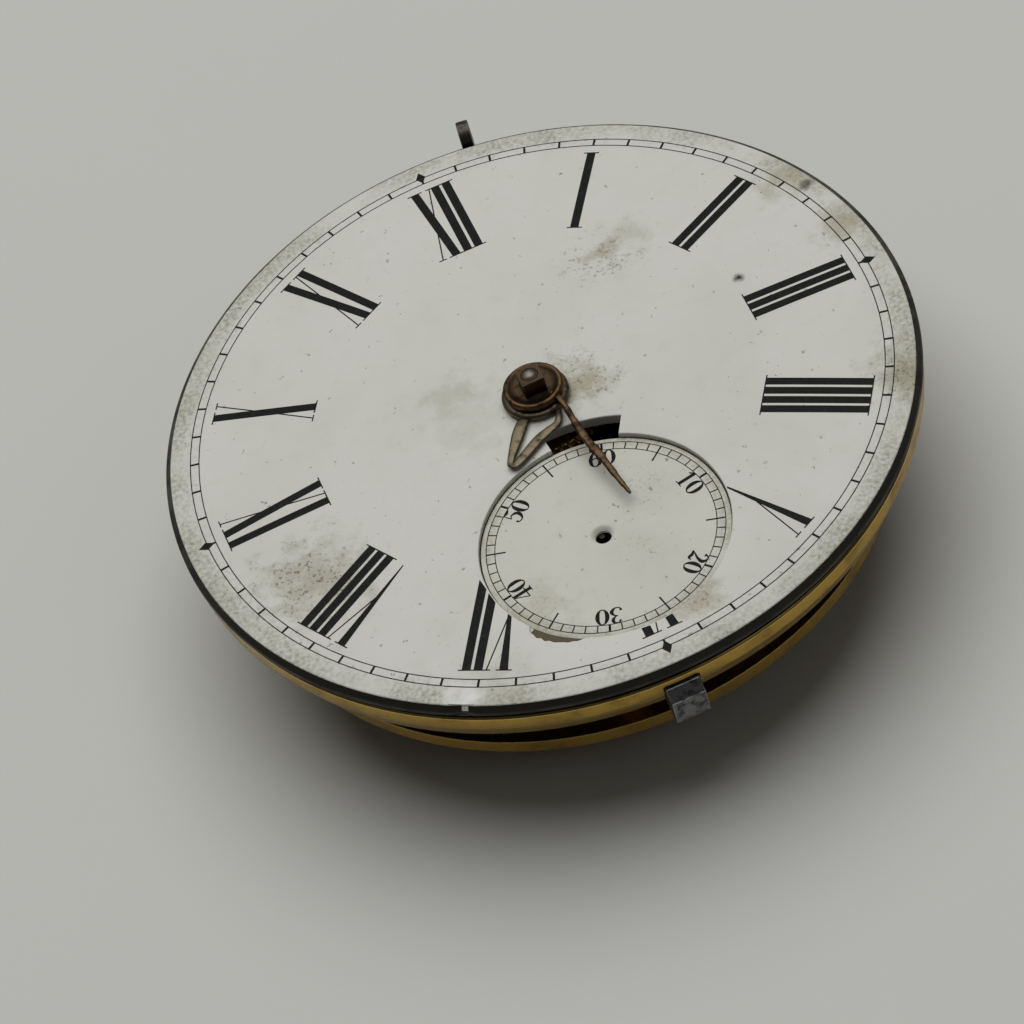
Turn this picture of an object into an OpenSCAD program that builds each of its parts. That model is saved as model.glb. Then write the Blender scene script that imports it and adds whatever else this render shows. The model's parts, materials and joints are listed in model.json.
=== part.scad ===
// Full-plate fusee lever movement of a pocket watch, in millimetres.
// +X points to III, +Y to XII and +Z out of the dial. The origin is the centre of the
// brass edge's front face. The pieces behind it have negative heights.

/* [Frame] */
// Radius of the brass edge that the dial is pinned to
brass_edge_r = 21.17; // [20.9:0.01:22]
// Height of the brass edge
brass_edge_h = 1.1; // [1.05:0.05:1.6]
// Radius of the opening in the brass edge, round the motion work
brass_edge_bore_r = 13.6; // [13.2:0.1:14.5]
// Distance of the pillar plate's edge inside the brass edge
plate_inset = 0.27; // [0.1:0.01:0.5]
// Depth of the turned seat round the back of the pillar plate
seat_step = 0.1; // [0.05:0.01:0.2]
// Thickness of the pillar plate
pillar_plate_h = 0.9; // [0.85:0.05:1.4]
// Space between the two plates
frame_gap = 3.3; // [3.1:0.05:4.5]
// Distance of the top plate's edge inside the brass edge
top_plate_inset = 2.47; // [1.6:0.01:2.7]
// Thickness of the top plate
top_plate_h = 1.0; // [0.8:0.05:1.3]
// Distance of the pillars' middles inside the top plate's edge
pillar_inset = 1.8; // [1.5:0.05:2.1]
// Largest radius of a pillar
pillar_r = 1.1; // [0.95:0.05:1.25]
// Radius of a pillar's end, where it passes through the top plate
pillar_end_r = 0.72; // [0.6:0.02:0.85]
// Radius of the taper pins of the pillars
pillar_pin_r = 0.24; // [0.16:0.02:0.3]

/* [Dial] */
// Distance of the edge of the dial's white face inside the brass edge
dial_inset = 0.14; // [0.05:0.01:0.5]
// Reach of the dial's dark edge past the brass edge
dial_overhang = 0.18; // [0.1:0.01:0.3]
// Thickness of the dial
dial_t = 0.65; // [0.5:0.01:0.8]
// Rise of the dial from its edge to its middle
dial_crown = 0.53; // [0.3:0.01:0.7]
// Space between the brass edge and the dial's edge
dial_gap = 0.35; // [0.25:0.01:0.5]
// Radius of the hole in the middle of the dial
dial_hole_r = 1.55; // [1.5:0.01:1.8]
// Radius of the hole that the seconds dial sits in
seconds_hole_r = 7.1; // [6.8:0.01:7.3]
// Depth of the seconds dial below the main dial, beside its centre
seconds_sink = 0.28; // [0.2:0.01:0.45]
// Radius of the hole in the middle of the seconds dial
seconds_pivot_hole_r = 0.45; // [0.35:0.01:0.6]
// Radius of a dial foot
dial_foot_r = 0.5; // [0.4:0.01:0.6]
// Distance of the dial feet's middles inside the brass edge
dial_foot_inset = 3.57; // [3.3:0.01:3.9]

/* [Train] */
// Module of the great wheel and the centre pinion
great_module = 0.24; // [0.235:0.001:0.245]
// Teeth of the great wheel
great_teeth = 60; // [58:1:62]
// Leaves of the centre pinion
centre_leaves = 12; // [12:1:12]
// Module of the centre wheel and the third pinion
centre_module = 0.18; // [0.176:0.001:0.184]
// Teeth of the centre wheel
centre_teeth = 64; // [62:1:66]
// Module of the third wheel and the fourth pinion
third_module = 0.165; // [0.16:0.001:0.167]
// Teeth of the third wheel
third_teeth = 60; // [58:1:62]
// Module of the fourth wheel and the escape pinion
fourth_module = 0.14; // [0.137:0.001:0.143]
// Teeth of the fourth wheel
fourth_teeth = 64; // [62:1:66]
// Leaves of the third, fourth and escape pinions
pinion_leaves = 8; // [8:1:8]
// Thickness of the great wheel
great_wheel_h = 0.35; // [0.25:0.01:0.4]
// Thickness of the centre wheel
centre_wheel_h = 0.28; // [0.2:0.01:0.32]
// Thickness of the third and fourth wheels
small_wheel_h = 0.25; // [0.18:0.01:0.28]
// Distance of the seconds arbor below the centre
seconds_drop = 10.6; // [10.5:0.01:10.7]
// Distance of the seconds arbor to the right of the centre
seconds_side = -0.3; // [-0.4:0.01:-0.2]

/* [Escapement] */
// Radius of the escape wheel at its tooth points
escape_r = 3.6; // [3.4:0.01:3.7]
// Thickness of the escape wheel
escape_wheel_h = 0.22; // [0.16:0.01:0.25]
// Length of the lever from the pallet arbor to the impulse pin
lever_len = 4.2; // [4.1:0.01:4.3]
// Radius of the impulse pin
impulse_pin_r = 0.18; // [0.14:0.01:0.2]
// Radius of the roller
roller_r = 1.75; // [1.7:0.01:1.8]
// Radius of the balance wheel
balance_r = 8.0; // [7.6:0.05:8.2]
// Width of the rim of the balance wheel
balance_rim_w = 0.9; // [0.6:0.05:1.1]
// Thickness of the balance wheel
balance_h = 0.55; // [0.4:0.05:0.65]
// Distance of the balance from the centre of the movement
balance_reach = 9.22; // [9.15:0.01:9.3]
// Outer radius of the balance spring
hairspring_r = 3.6; // [3.4:0.01:3.7]
// Coils of the balance spring
hairspring_turns = 4.8; // [4:0.1:4.9]
// Thickness of the balance spring's strip
hairspring_t = 0.1; // [0.06:0.01:0.12]
// Height of the balance spring's strip
hairspring_h = 0.2; // [0.15:0.01:0.25]

/* [Power] */
// Radius of the barrel
barrel_r = 7.0; // [6.8:0.01:7.1]
// Thickness of the barrel's wall
barrel_wall = 0.45; // [0.35:0.01:0.55]
// Distance of the barrel from the centre of the movement
barrel_reach = 9.6; // [9.5:0.01:9.7]
// Radius of the barrel arbor inside the mainspring
barrel_core_r = 1.5; // [1.3:0.01:1.6]
// Thickness of the mainspring
mainspring_t = 0.18; // [0.12:0.01:0.2]
// Coils of the mainspring
mainspring_turns = 7.5; // [6:0.1:7.6]
// Largest radius of the fusee, at the great wheel
fusee_foot_r = 5.8; // [5.6:0.01:5.9]
// Smallest radius of the fusee, at the top plate
fusee_top_r = 3.4; // [3:0.01:3.6]
// Turns of the groove on the fusee
fusee_turns = 4; // [3:1:5]
// Width of the chain
chain_w = 0.28; // [0.2:0.01:0.3]
// Thickness of the chain
chain_t = 0.22; // [0.16:0.01:0.24]
// Rise of one turn of chain on the barrel
chain_pitch = 0.72; // [0.7:0.01:0.76]
// Turns of chain on the barrel
chain_turns = 3.2; // [2.2:0.1:3.3]
// Width across the flats of the winding square
winding_square = 1.5; // [1.3:0.05:1.6]
// Height of the winding square above the top plate
winding_square_h = 2.6; // [2:0.05:2.9]

/* [Motion work] */
// Module of the cannon pinion and the minute wheel
cannon_module = 0.17; // [0.166:0.001:0.174]
// Leaves of the cannon pinion
cannon_leaves = 12; // [12:1:12]
// Teeth of the minute wheel
minute_teeth = 36; // [36:1:36]
// Leaves of the minute pinion
minute_leaves = 10; // [10:1:10]
// Teeth of the hour wheel
hour_teeth = 40; // [40:1:40]
// Radius of the cannon pinion's pipe
cannon_pipe_r = 0.95; // [0.92:0.01:0.98]
// Width across the flats of the setting square
setting_square = 1.3; // [1.2:0.01:1.34]
// Height of the setting square's end above the brass edge
setting_square_z = 3.42; // [3.2:0.01:3.6]
// Radius of the collet of the hour hand
hour_collet_r = 1.9; // [1.7:0.01:2.1]
// Radius of the collet of the minute hand
minute_collet_r = 1.7; // [1.5:0.01:1.9]

/* [Bolt and joint] */
// Width of the bolt
bolt_w = 1.95; // [1.8:0.05:2.3]
// Travel of the bolt
bolt_travel = 1.0; // [0.7:0.05:1.1]
// Reach of the bolt's nib past the brass edge
bolt_overhang = 0.73; // [0.5:0.01:1]
// Depth of the nib below the brass edge's front face
bolt_drop = 2.8; // [2.5:0.05:3.3]
// Radius of the eye of the joint tongue
joint_eye_r = 0.9; // [0.8:0.01:0.95]
// Radius of the hinge hole in the joint tongue
joint_bore_r = 0.35; // [0.25:0.01:0.4]
// Thickness of the joint tongue
joint_tongue_t = 0.7; // [0.6:0.05:0.9]
// Angle of the joint tongue from XII, towards I
joint_angle = 9; // [7:0.5:11]

/* [Hidden] */
$fn = 64;

gilt = "goldenrod";
steel = "slategray";
blued = "midnightblue";
brass = "darkgoldenrod";
ruby = "mediumvioletred";

// Clearances: between stacked pieces, round a running pivot, between a pin and its hole
stack_gap = 0.15;
pivot_play = 0.04;
pin_play = 0.03;
// Extra length of a cutting tool past the face that it cuts
cut = 0.1;

// Radii that follow the brass edge
dial_r = brass_edge_r - dial_inset;
dial_edge_r = brass_edge_r + dial_overhang;
pillar_plate_r = brass_edge_r - plate_inset;
top_plate_r = brass_edge_r - top_plate_inset;
pillar_ring_r = top_plate_r - pillar_inset;
dial_foot_ring_r = brass_edge_r - dial_foot_inset;
edge_screw_inset = 4.77;
edge_screw_ring_r = brass_edge_r - edge_screw_inset;
bolt_reach = brass_edge_r + bolt_overhang;

// Heights of the plate faces
edge_back_z = -brass_edge_h;
plate_in_z = edge_back_z - pillar_plate_h;
top_in_z = plate_in_z - frame_gap;
top_out_z = top_in_z - top_plate_h;

// Radii of pivots, arbors and pinion hubs
pivot_r = 0.2;
arbor_r = 0.34;
centre_arbor_r = 0.45;
seconds_pivot_r = 0.16;

// Ends of the pivots, just inside the outer faces of the plates
pivot_front_z = edge_back_z - pivot_play;
pivot_back_z = top_out_z + pivot_play;

// Heights of the train, from the pillar plate backwards
centre_sink = centre_wheel_h + 2 * stack_gap;
centre_wheel_z = plate_in_z + stack_gap;
great_wheel_z = plate_in_z - stack_gap - great_wheel_h;
centre_pinion_h = great_wheel_h + 1.4 * stack_gap;
third_wheel_z = great_wheel_z - 2 * stack_gap - small_wheel_h;
fourth_wheel_z = third_wheel_z - 3 * stack_gap - small_wheel_h;

// Heights of the escapement, from the top plate forwards
roller_h = 0.25;
lever_h = 0.25;
pallet_h = 0.4;
roller_z = top_in_z + stack_gap;
lever_z = roller_z + roller_h + stack_gap;
pallet_z = lever_z + lever_h;
escape_wheel_z = pallet_z + (pallet_h - escape_wheel_h) / 2;
potence_lift = 0.2;
potence_z = pallet_z + potence_lift;
potence_h = 0.6;

// Heights outside the top plate
regulator_h = 0.25;
hairspring_z = top_out_z - regulator_h - stack_gap - hairspring_h;
balance_z = hairspring_z - 2 * stack_gap - balance_h;
cock_z = balance_z - 2 * stack_gap;
cock_h = 0.8;
bar_h = 0.8;
cap_h = 0.3;

// Places of the arbors on the plates
function polar(r, a) = [r * cos(a), r * sin(a)];
function heading(p, q) = atan2(q[1] - p[1], q[0] - p[0]);
function reach(m, n1, n2) = m * (n1 + n2) / 2;
// Point at distance a from p and b from q, to the left of the way from p to q if side is 1
function meet(p, q, a, b, side) =
    let (d = norm(q - p), u = (q - p) / d, x = (a * a - b * b + d * d) / (2 * d))
    p + x * u + side * sqrt(a * a - x * x) * [-u[1], u[0]];

centre_at = [0, 0];
fourth_at = [seconds_side, -seconds_drop];
third_at = meet(centre_at, fourth_at, reach(centre_module, centre_teeth, pinion_leaves),
    reach(third_module, third_teeth, pinion_leaves), -1);
escape_angle = -35;
escape_at = fourth_at + polar(reach(fourth_module, fourth_teeth, pinion_leaves), escape_angle);
balance_angle = -49.4;
balance_at = polar(balance_reach, balance_angle);
// The impulse pin turns three times as far as the lever
swing_ratio = 3;
impulse_r = lever_len / swing_ratio;
pallet_span = 60;
pallet_reach = escape_r / cos(pallet_span / 2);
pallet_at = meet(escape_at, balance_at, pallet_reach, lever_len + impulse_r, -1);
fusee_angle = 15;
fusee_at = polar(reach(great_module, great_teeth, centre_leaves), fusee_angle);
barrel_angle = 140;
barrel_at = polar(barrel_reach, barrel_angle);
minute_angle = 45;
minute_reach = reach(cannon_module, cannon_leaves, minute_teeth);
minute_at = polar(minute_reach, minute_angle);
hour_module = 2 * minute_reach / (minute_leaves + hour_teeth);

pillar_angles = [85, 195, 262, 335];
dial_foot_angles = [45, 170, 300];
edge_screw_angles = [20, 120, 230];

// Height of the dial's face at a distance from its middle
function dial_z(r) = dial_gap + dial_t + dial_crown * (1 - pow(r / dial_r, 2));
seconds_face_z = dial_z(norm(fourth_at) + seconds_hole_r / 3) - seconds_sink;
seconds_seat = 0.06;
seconds_t = 0.34;
seconds_flange = 0.65;
seconds_fit = 0.1;
seconds_funnel_r = 0.675;

// Tooth shapes: share of the pitch, rise above and depth below the pitch circle in modules
wheel_share = 0.42;
wheel_rise = 1.1;
leaf_share = 0.32;
leaf_rise = 0.75;
tooth_depth = 1.4;
// Room that a sink in a plate leaves past a wheel's pitch circle, in modules
tip_room = 2;

// Points of a toothed outline with a tooth on the +X axis
function teeth(n, m, share, rise) =
    let (p = 360 / n, r = m * n / 2, half = p * share / 2,
        rows = [[r - tooth_depth * m, -1.05], [r, -1], [r + rise * m, -0.4],
            [r + rise * m, 0.4], [r, 1], [r - tooth_depth * m, 1.05]])
    [for (i = [0:n - 1], row = rows) polar(row[0], i * p + row[1] * half)];

// A wheel with its rim crossed out into arms, and a hole for its arbor
module crossed_wheel(n, m, h, rim, hub_r, bore_r, arms, arm_w) {
    rim_in_r = m * n / 2 - tooth_depth * m - rim;
    difference() {
        linear_extrude(h) polygon(teeth(n, m, wheel_share, wheel_rise));
        difference() {
            translate([0, 0, -cut]) cylinder(r = rim_in_r, h = h + 2 * cut);
            translate([0, 0, -2 * cut]) cylinder(r = hub_r, h = h + 4 * cut);
            for (i = [0:arms - 1])
                rotate(i * 360 / arms) translate([0, -arm_w / 2, -2 * cut])
                    cube([rim_in_r + rim / 2, arm_w, h + 4 * cut]);
        }
        translate([0, 0, -cut]) cylinder(r = bore_r, h = h + 2 * cut);
    }
}

module pinion(n, m, h) {
    linear_extrude(h) polygon(teeth(n, m, leaf_share, leaf_rise));
}

// A turned piece: steps are [from height, to height, radius], from the front backwards
module turned(steps) {
    last = len(steps) - 1;
    rotate_extrude() polygon(concat([[0, steps[0][0]]],
        [for (s = steps, z = [s[0], s[1]]) [s[2], z]], [[0, steps[last][1]]]));
}

// An arbor between the plates, with a pivot at each end
module plain_arbor() {
    turned([[pivot_front_z, plate_in_z - pivot_play, pivot_r],
        [plate_in_z - pivot_play, top_in_z + pivot_play, arbor_r],
        [top_in_z + pivot_play, pivot_back_z, pivot_r]]);
}

module at(p, z = 0) {
    translate([p[0], p[1], z]) children();
}

// A round hole through a plate from z down by h
module hole(p, r, z, h) {
    at(p, z - h - cut) cylinder(r = r, h = h + 2 * cut);
}

// A slotted screw with its head under z, pointing to +Z, or to -Z if flip is true
module screw(p, z, head_r, head_h, shank_r, shank_h, flip = false) {
    slot_w = head_r / 4;
    at(p, z) mirror([0, 0, flip ? 1 : 0]) difference() {
        union() {
            translate([0, 0, -head_h]) cylinder(r = head_r, h = head_h);
            cylinder(r = shank_r, h = shank_h);
        }
        translate([-head_r, -slot_w / 2, -head_h - cut]) cube([2 * head_r, slot_w, head_h / 2 + cut]);
    }
}

// Outline of a strip of width w along points
function strip_side(pts, w, s) = [for (i = [0:len(pts) - 1])
    let (a = pts[max(i - 1, 0)], b = pts[min(i + 1, len(pts) - 1)], d = (b - a) / norm(b - a))
    pts[i] + s * w / 2 * [-d[1], d[0]]];
module strip(pts, w, h) {
    back = strip_side(pts, w, -1);
    last = len(back) - 1;
    linear_extrude(h) polygon(concat(strip_side(pts, w, 1), [for (i = [0:last]) back[last - i]]));
}
// An outline that is the same on both sides of the X axis
module mirrored(pts) {
    last = len(pts) - 1;
    polygon(concat(pts, [for (i = [last:-1:0]) [pts[i][0], -pts[i][1]]]));
}
// Points along an arc about p
function arc(p, r, from, to, n) = [for (i = [0:n]) p + polar(r, from + (to - from) * i / n)];
// Points of a flat spiral, with n points a turn
function spiral(r0, r1, turns, start, n) = let (last = round(turns * n))
    [for (i = [0:last]) polar(r0 + (r1 - r0) * i / last, start + 360 * turns * i / last)];

// Screw sizes
big_head_r = 1.1;
big_head_h = 0.45;
big_shank_r = 0.55;
small_head_r = 0.75;
small_head_h = 0.3;
small_shank_r = 0.35;
tiny_head_r = 0.35;
tiny_head_h = 0.15;
tiny_shank_r = 0.18;

// Dial and seconds dial

// The gap in the dial beside the seconds dial, an arc of the seconds hole
window_from = 61.5;
window_to = 95;
window_w = 0.8;
window_r = seconds_hole_r + window_w;
module window(r, z, h) {
    intersection() {
        at(fourth_at, z) cylinder(r = r, h = h);
        translate([0, 0, z]) linear_extrude(h) polygon([fourth_at,
            fourth_at + polar(2 * r, window_from), fourth_at + polar(2 * r, window_to)]);
    }
}

dial_steps = 8;
dial_edge_round = 0.25;
dial_foot_end = 0.9;
dial_foot_end_z = plate_in_z - dial_foot_end;
dial_pin_r = 0.2;
dial_pin_len = 2.6;
dial_pin_z = plate_in_z - dial_pin_r - pin_play;

module dial() {
    under_r = dial_edge_r - 3 * dial_edge_round;
    seat_z = seconds_face_z - seconds_seat;
    flange_r = seconds_hole_r + seconds_flange + seconds_fit;
    color("ivory") {
        difference() {
            rotate_extrude($fn = 128) polygon(concat(
                [for (i = [0:dial_steps]) let (r = dial_hole_r + (dial_r - dial_hole_r) * i / dial_steps)
                    [r, dial_z(r)]],
                [[dial_edge_r, dial_z(dial_r) - dial_edge_round],
                    [dial_edge_r, dial_gap + dial_edge_round / 2],
                    [dial_edge_r - dial_edge_round, dial_gap]],
                [for (i = [dial_steps:-1:0])
                    let (r = dial_hole_r + (under_r - dial_hole_r) * i / dial_steps)
                    [r, dial_z(r) - dial_t]]));
            at(fourth_at, -cut) cylinder(r = seconds_hole_r, h = 4 * dial_t);
            at(fourth_at, -cut) cylinder(r = flange_r, h = seat_z + cut);
            window(window_r, -cut, 4 * dial_t);
        }
        for (a = dial_foot_angles) at(polar(dial_foot_ring_r, a)) difference() {
            translate([0, 0, dial_foot_end_z])
                cylinder(r = dial_foot_r, h = dial_z(dial_foot_ring_r) - dial_t / 2 - dial_foot_end_z);
            rotate(a) translate([0, dial_pin_len, dial_pin_z]) rotate([90, 0, 0])
                cylinder(r = dial_pin_r + pin_play, h = 2 * dial_pin_len);
        }
    }
}

module seconds_dial() {
    flange_r = seconds_hole_r + seconds_flange;
    back_z = seconds_face_z - seconds_t;
    color("ivory") difference() {
        union() {
            at(fourth_at, back_z) cylinder(r = seconds_hole_r - seconds_fit, h = seconds_t);
            difference() {
                at(fourth_at, back_z) cylinder(r = flange_r, h = seconds_t - seconds_seat);
                window(2 * flange_r, back_z - cut, 2 * seconds_t);
            }
        }
        at(fourth_at, back_z - cut) cylinder(r = seconds_pivot_hole_r, h = seconds_t + 2 * cut);
        at(fourth_at, seconds_face_z - seconds_t / 2)
            cylinder(r1 = seconds_pivot_hole_r, r2 = seconds_funnel_r, h = seconds_t / 2 + cut / 10);
    }
}

module dial_pins() {
    color(brass) for (a = dial_foot_angles) at(polar(dial_foot_ring_r, a), dial_pin_z)
        rotate(a) rotate([90, 0, 0]) cylinder(r = dial_pin_r, h = dial_pin_len, center = true);
}

// Plates and pillars

bolt_slot_h = 0.65;
bolt_play = 0.06;
bolt_nib_t = 1.7;
bolt_notch_r = bolt_reach - bolt_nib_t - bolt_travel - 2 * bolt_play;
bolt_tail_len = 1.0;
bolt_tail_r = brass_edge_bore_r - bolt_tail_len;
rim_bevel = 0.2;
// Room between the top plate's edge and the inner edge of the seat
seat_room = 0.3;
seat_in_r = top_plate_r + seat_room;

joint_base_w = 4.4;
joint_base_len = 3.77;
joint_base_in_r = brass_edge_r - joint_base_len;
joint_base_h = 0.7;
joint_eye_reach = dial_edge_r + joint_eye_r + stack_gap;
joint_eye_z = 0.6;

module joint_frame() {
    rotate(-joint_angle) children();
}

module brass_edge() {
    color(gilt) difference() {
        rotate_extrude($fn = 128) polygon([[brass_edge_bore_r, 0], [brass_edge_r - rim_bevel / 2, 0],
            [brass_edge_r, -rim_bevel / 2], [brass_edge_r, edge_back_z + rim_bevel],
            [brass_edge_r - rim_bevel / 2, edge_back_z], [brass_edge_bore_r, edge_back_z]]);
        translate([-bolt_w / 2 - bolt_play, -bolt_reach - cut, edge_back_z - cut])
            cube([bolt_w + 2 * bolt_play, bolt_reach, bolt_slot_h + cut]);
        joint_frame() translate([-joint_base_w / 2 - pin_play, joint_base_in_r - pin_play, -joint_base_h])
            cube([joint_base_w + 2 * pin_play, brass_edge_r, joint_base_h + cut]);
        joint_frame() hole([0, joint_screw_r], small_shank_r + pin_play, 0, brass_edge_h);
        for (a = dial_foot_angles)
            hole(polar(dial_foot_ring_r, a), dial_foot_r + pin_play, 0, brass_edge_h);
        for (a = edge_screw_angles) {
            hole(polar(edge_screw_ring_r, a), small_shank_r + pin_play, 0, brass_edge_h);
            hole(polar(edge_screw_ring_r, a), small_head_r + pin_play, cut, small_head_h);
        }
    }
}

module pillar_plate() {
    color(gilt) difference() {
        rotate_extrude($fn = 128) polygon([[0, edge_back_z], [pillar_plate_r - rim_bevel / 2, edge_back_z],
            [pillar_plate_r, edge_back_z - rim_bevel], [pillar_plate_r - rim_bevel, plate_in_z + seat_step],
            [seat_in_r, plate_in_z + seat_step], [seat_in_r, plate_in_z], [0, plate_in_z]]);
        at(centre_at, plate_in_z - cut)
            cylinder(r = centre_module * (centre_teeth / 2 + tip_room) + stack_gap, h = centre_sink + cut);
        at(third_at, plate_in_z - cut)
            cylinder(r = centre_module * (pinion_leaves / 2 + tip_room) + stack_gap, h = centre_sink + cut);
        translate([-bolt_w / 2 - bolt_play, -bolt_reach - cut, plate_in_z - cut])
            cube([bolt_w + 2 * bolt_play, bolt_reach + cut - bolt_notch_r, pillar_plate_h + 2 * cut]);
        plate_hole(centre_at, centre_arbor_r * 2 + pivot_play);
        plate_hole(third_at, pivot_r + pivot_play);
        plate_hole(fourth_at, seconds_pivot_r * 2 + pivot_play);
        plate_hole(escape_at, pivot_r + pivot_play);
        plate_hole(pallet_at, pivot_r + pivot_play);
        plate_hole(fusee_at, fusee_pivot_r + pivot_play);
        plate_hole(barrel_at, barrel_pivot_r + pivot_play);
        plate_hole(detent_at, pivot_r + pivot_play);
        plate_hole(minute_at, minute_post_r);
        for (a = pillar_angles) plate_hole(polar(pillar_ring_r, a), pillar_end_r);
        for (a = dial_foot_angles) plate_hole(polar(dial_foot_ring_r, a), dial_foot_r + pin_play);
        for (a = edge_screw_angles) plate_hole(polar(edge_screw_ring_r, a), small_shank_r + pin_play);
        plate_hole(bolt_spring_foot, small_shank_r + pin_play);
        plate_hole(click_at, small_shank_r + pin_play);
        joint_frame() plate_hole([0, joint_screw_r], small_shank_r + pin_play);
    }
}

module plate_hole(p, r) {
    hole(p, r, edge_back_z, pillar_plate_h);
}

module top_hole(p, r) {
    hole(p, r, top_in_z, top_plate_h);
}

staff_hole_r = 1.0;
collar_r = 1.45;
chain_room = 0.3;
barrel_gap = chain_t + 2 * pivot_play + chain_room;

module top_plate() {
    color(gilt) {
        difference() {
            union() {
                rotate_extrude($fn = 128) polygon([[0, top_in_z], [top_plate_r, top_in_z],
                    [top_plate_r, top_out_z + rim_bevel], [top_plate_r - rim_bevel, top_out_z],
                    [0, top_out_z]]);
                at(balance_at, top_out_z - regulator_h) cylinder(r = collar_r, h = regulator_h + cut);
            }
            top_hole(barrel_at, barrel_r + barrel_gap);
            hole(balance_at, staff_hole_r, top_in_z, top_plate_h + regulator_h);
            top_hole(centre_at, arbor_r + pivot_play);
            top_hole(third_at, pivot_r + pivot_play);
            top_hole(fourth_at, pivot_r + pivot_play);
            top_hole(escape_at, pivot_r + pivot_play);
            top_hole(pallet_at, pivot_r + pivot_play);
            top_hole(fusee_at, fusee_back_pivot_r + pivot_play);
            top_hole(detent_at, pivot_r + pivot_play);
            top_hole(stop_at, stop_pin_r + pivot_play);
            for (a = pillar_angles) top_hole(polar(pillar_ring_r, a), pillar_end_r + pin_play);
            for (p = bar_screws) top_hole(p, big_shank_r + pin_play);
            top_hole(cock_screw_at, big_shank_r + pin_play);
            for (p = cock_steadies) top_hole(p, steady_r + pin_play);
            top_hole(potence_foot, small_shank_r + pin_play);
            hole(potence_foot, small_head_r + pin_play, top_out_z + small_head_h, small_head_h);
            top_hole(stud_at, stud_r + pin_play);
            for (p = banking_at) top_hole(p, banking_r + pin_play);
        }
    }
}

module pillars() {
    neck_r = pillar_r * 0.72;
    ring_h = frame_gap / 8;
    end_z = top_out_z - pillar_end_h;
    color(gilt) for (a = pillar_angles) at(polar(pillar_ring_r, a)) difference() {
        rotate_extrude() polygon([[0, edge_back_z], [pillar_end_r, edge_back_z], [pillar_end_r, plate_in_z],
            [pillar_r, plate_in_z], [pillar_r, plate_in_z - ring_h], [neck_r, plate_in_z - 2 * ring_h],
            [neck_r, top_in_z + 2 * ring_h], [pillar_r, top_in_z + ring_h], [pillar_r, top_in_z],
            [pillar_end_r, top_in_z], [pillar_end_r, end_z + pillar_end_bevel],
            [pillar_end_r - pillar_end_bevel, end_z], [0, end_z]]);
        rotate(a) translate([0, pillar_pin_len, pillar_pin_z]) rotate([90, 0, 0])
            cylinder(r = pillar_pin_r + pin_play, h = 2 * pillar_pin_len);
    }
}

pillar_pin_len = 3.0;
pillar_end_h = 0.85;
pillar_end_bevel = 0.15;
pillar_pin_z = top_out_z - pillar_pin_r - pin_play;

module pillar_pins() {
    color(steel) for (a = pillar_angles) at(polar(pillar_ring_r, a), pillar_pin_z)
        rotate(a) rotate([90, 0, 0])
            cylinder(r1 = pillar_pin_r, r2 = pillar_pin_r * 0.75, h = pillar_pin_len, center = true);
}

module front_screws() {
    color(blued) {
        for (a = edge_screw_angles)
            screw(polar(edge_screw_ring_r, a), -small_head_h, small_head_r, small_head_h,
                small_shank_r, brass_edge_h + pillar_plate_h - small_head_h, true);
        joint_frame() screw([0, joint_screw_r], -joint_base_h + joint_leaf_h, small_head_r, small_head_h,
            small_shank_r, brass_edge_h + pillar_plate_h - joint_base_h + joint_leaf_h, true);
        screw(bolt_spring_foot, edge_back_z + bolt_spring_h, small_head_r, small_head_h,
            small_shank_r, pillar_plate_h + bolt_spring_h, true);
        screw(click_at, edge_back_z + ratchet_h, small_head_r, small_head_h,
            small_shank_r, pillar_plate_h + ratchet_h, true);
    }
}

module back_screws() {
    color(blued) {
        for (p = bar_screws)
            screw(p, top_out_z - bar_h, big_head_r, big_head_h, big_shank_r, bar_h + top_plate_h);
        screw(cock_screw_at, cock_z - cock_h, big_head_r, big_head_h,
            big_shank_r, top_in_z - cock_z + cock_h);
        screw(potence_foot, top_out_z + small_head_h, small_head_r, small_head_h,
            small_shank_r, top_plate_h - small_head_h + potence_h);
    }
}

// Joint and bolt

joint_screw_in = 1.2;
joint_screw_r = joint_base_in_r + joint_screw_in;
joint_leaf_h = 0.4;

module joint() {
    leaf_out_r = brass_edge_r - rim_bevel;
    color(steel) joint_frame() difference() {
        union() {
            translate([-joint_base_w / 2, joint_base_in_r, -joint_base_h])
                cube([joint_base_w, leaf_out_r - joint_base_in_r, joint_leaf_h]);
            translate([-joint_tongue_t / 2, leaf_out_r - 2 * joint_tongue_t, -joint_base_h])
                cube([joint_tongue_t, joint_eye_reach - leaf_out_r + 2 * joint_tongue_t, joint_leaf_h]);
            translate([-joint_tongue_t / 2, joint_eye_reach - joint_eye_r, -joint_base_h])
                cube([joint_tongue_t, 2 * joint_eye_r, joint_eye_z + joint_base_h]);
            translate([-joint_tongue_t / 2, joint_eye_reach, joint_eye_z]) rotate([0, 90, 0])
                cylinder(r = joint_eye_r, h = joint_tongue_t);
        }
        translate([-joint_tongue_t, joint_eye_reach, joint_eye_z]) rotate([0, 90, 0])
            cylinder(r = joint_bore_r, h = 2 * joint_tongue_t);
        hole([0, joint_screw_r], small_shank_r + pin_play, 0, 2 * joint_base_h);
    }
}

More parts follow.
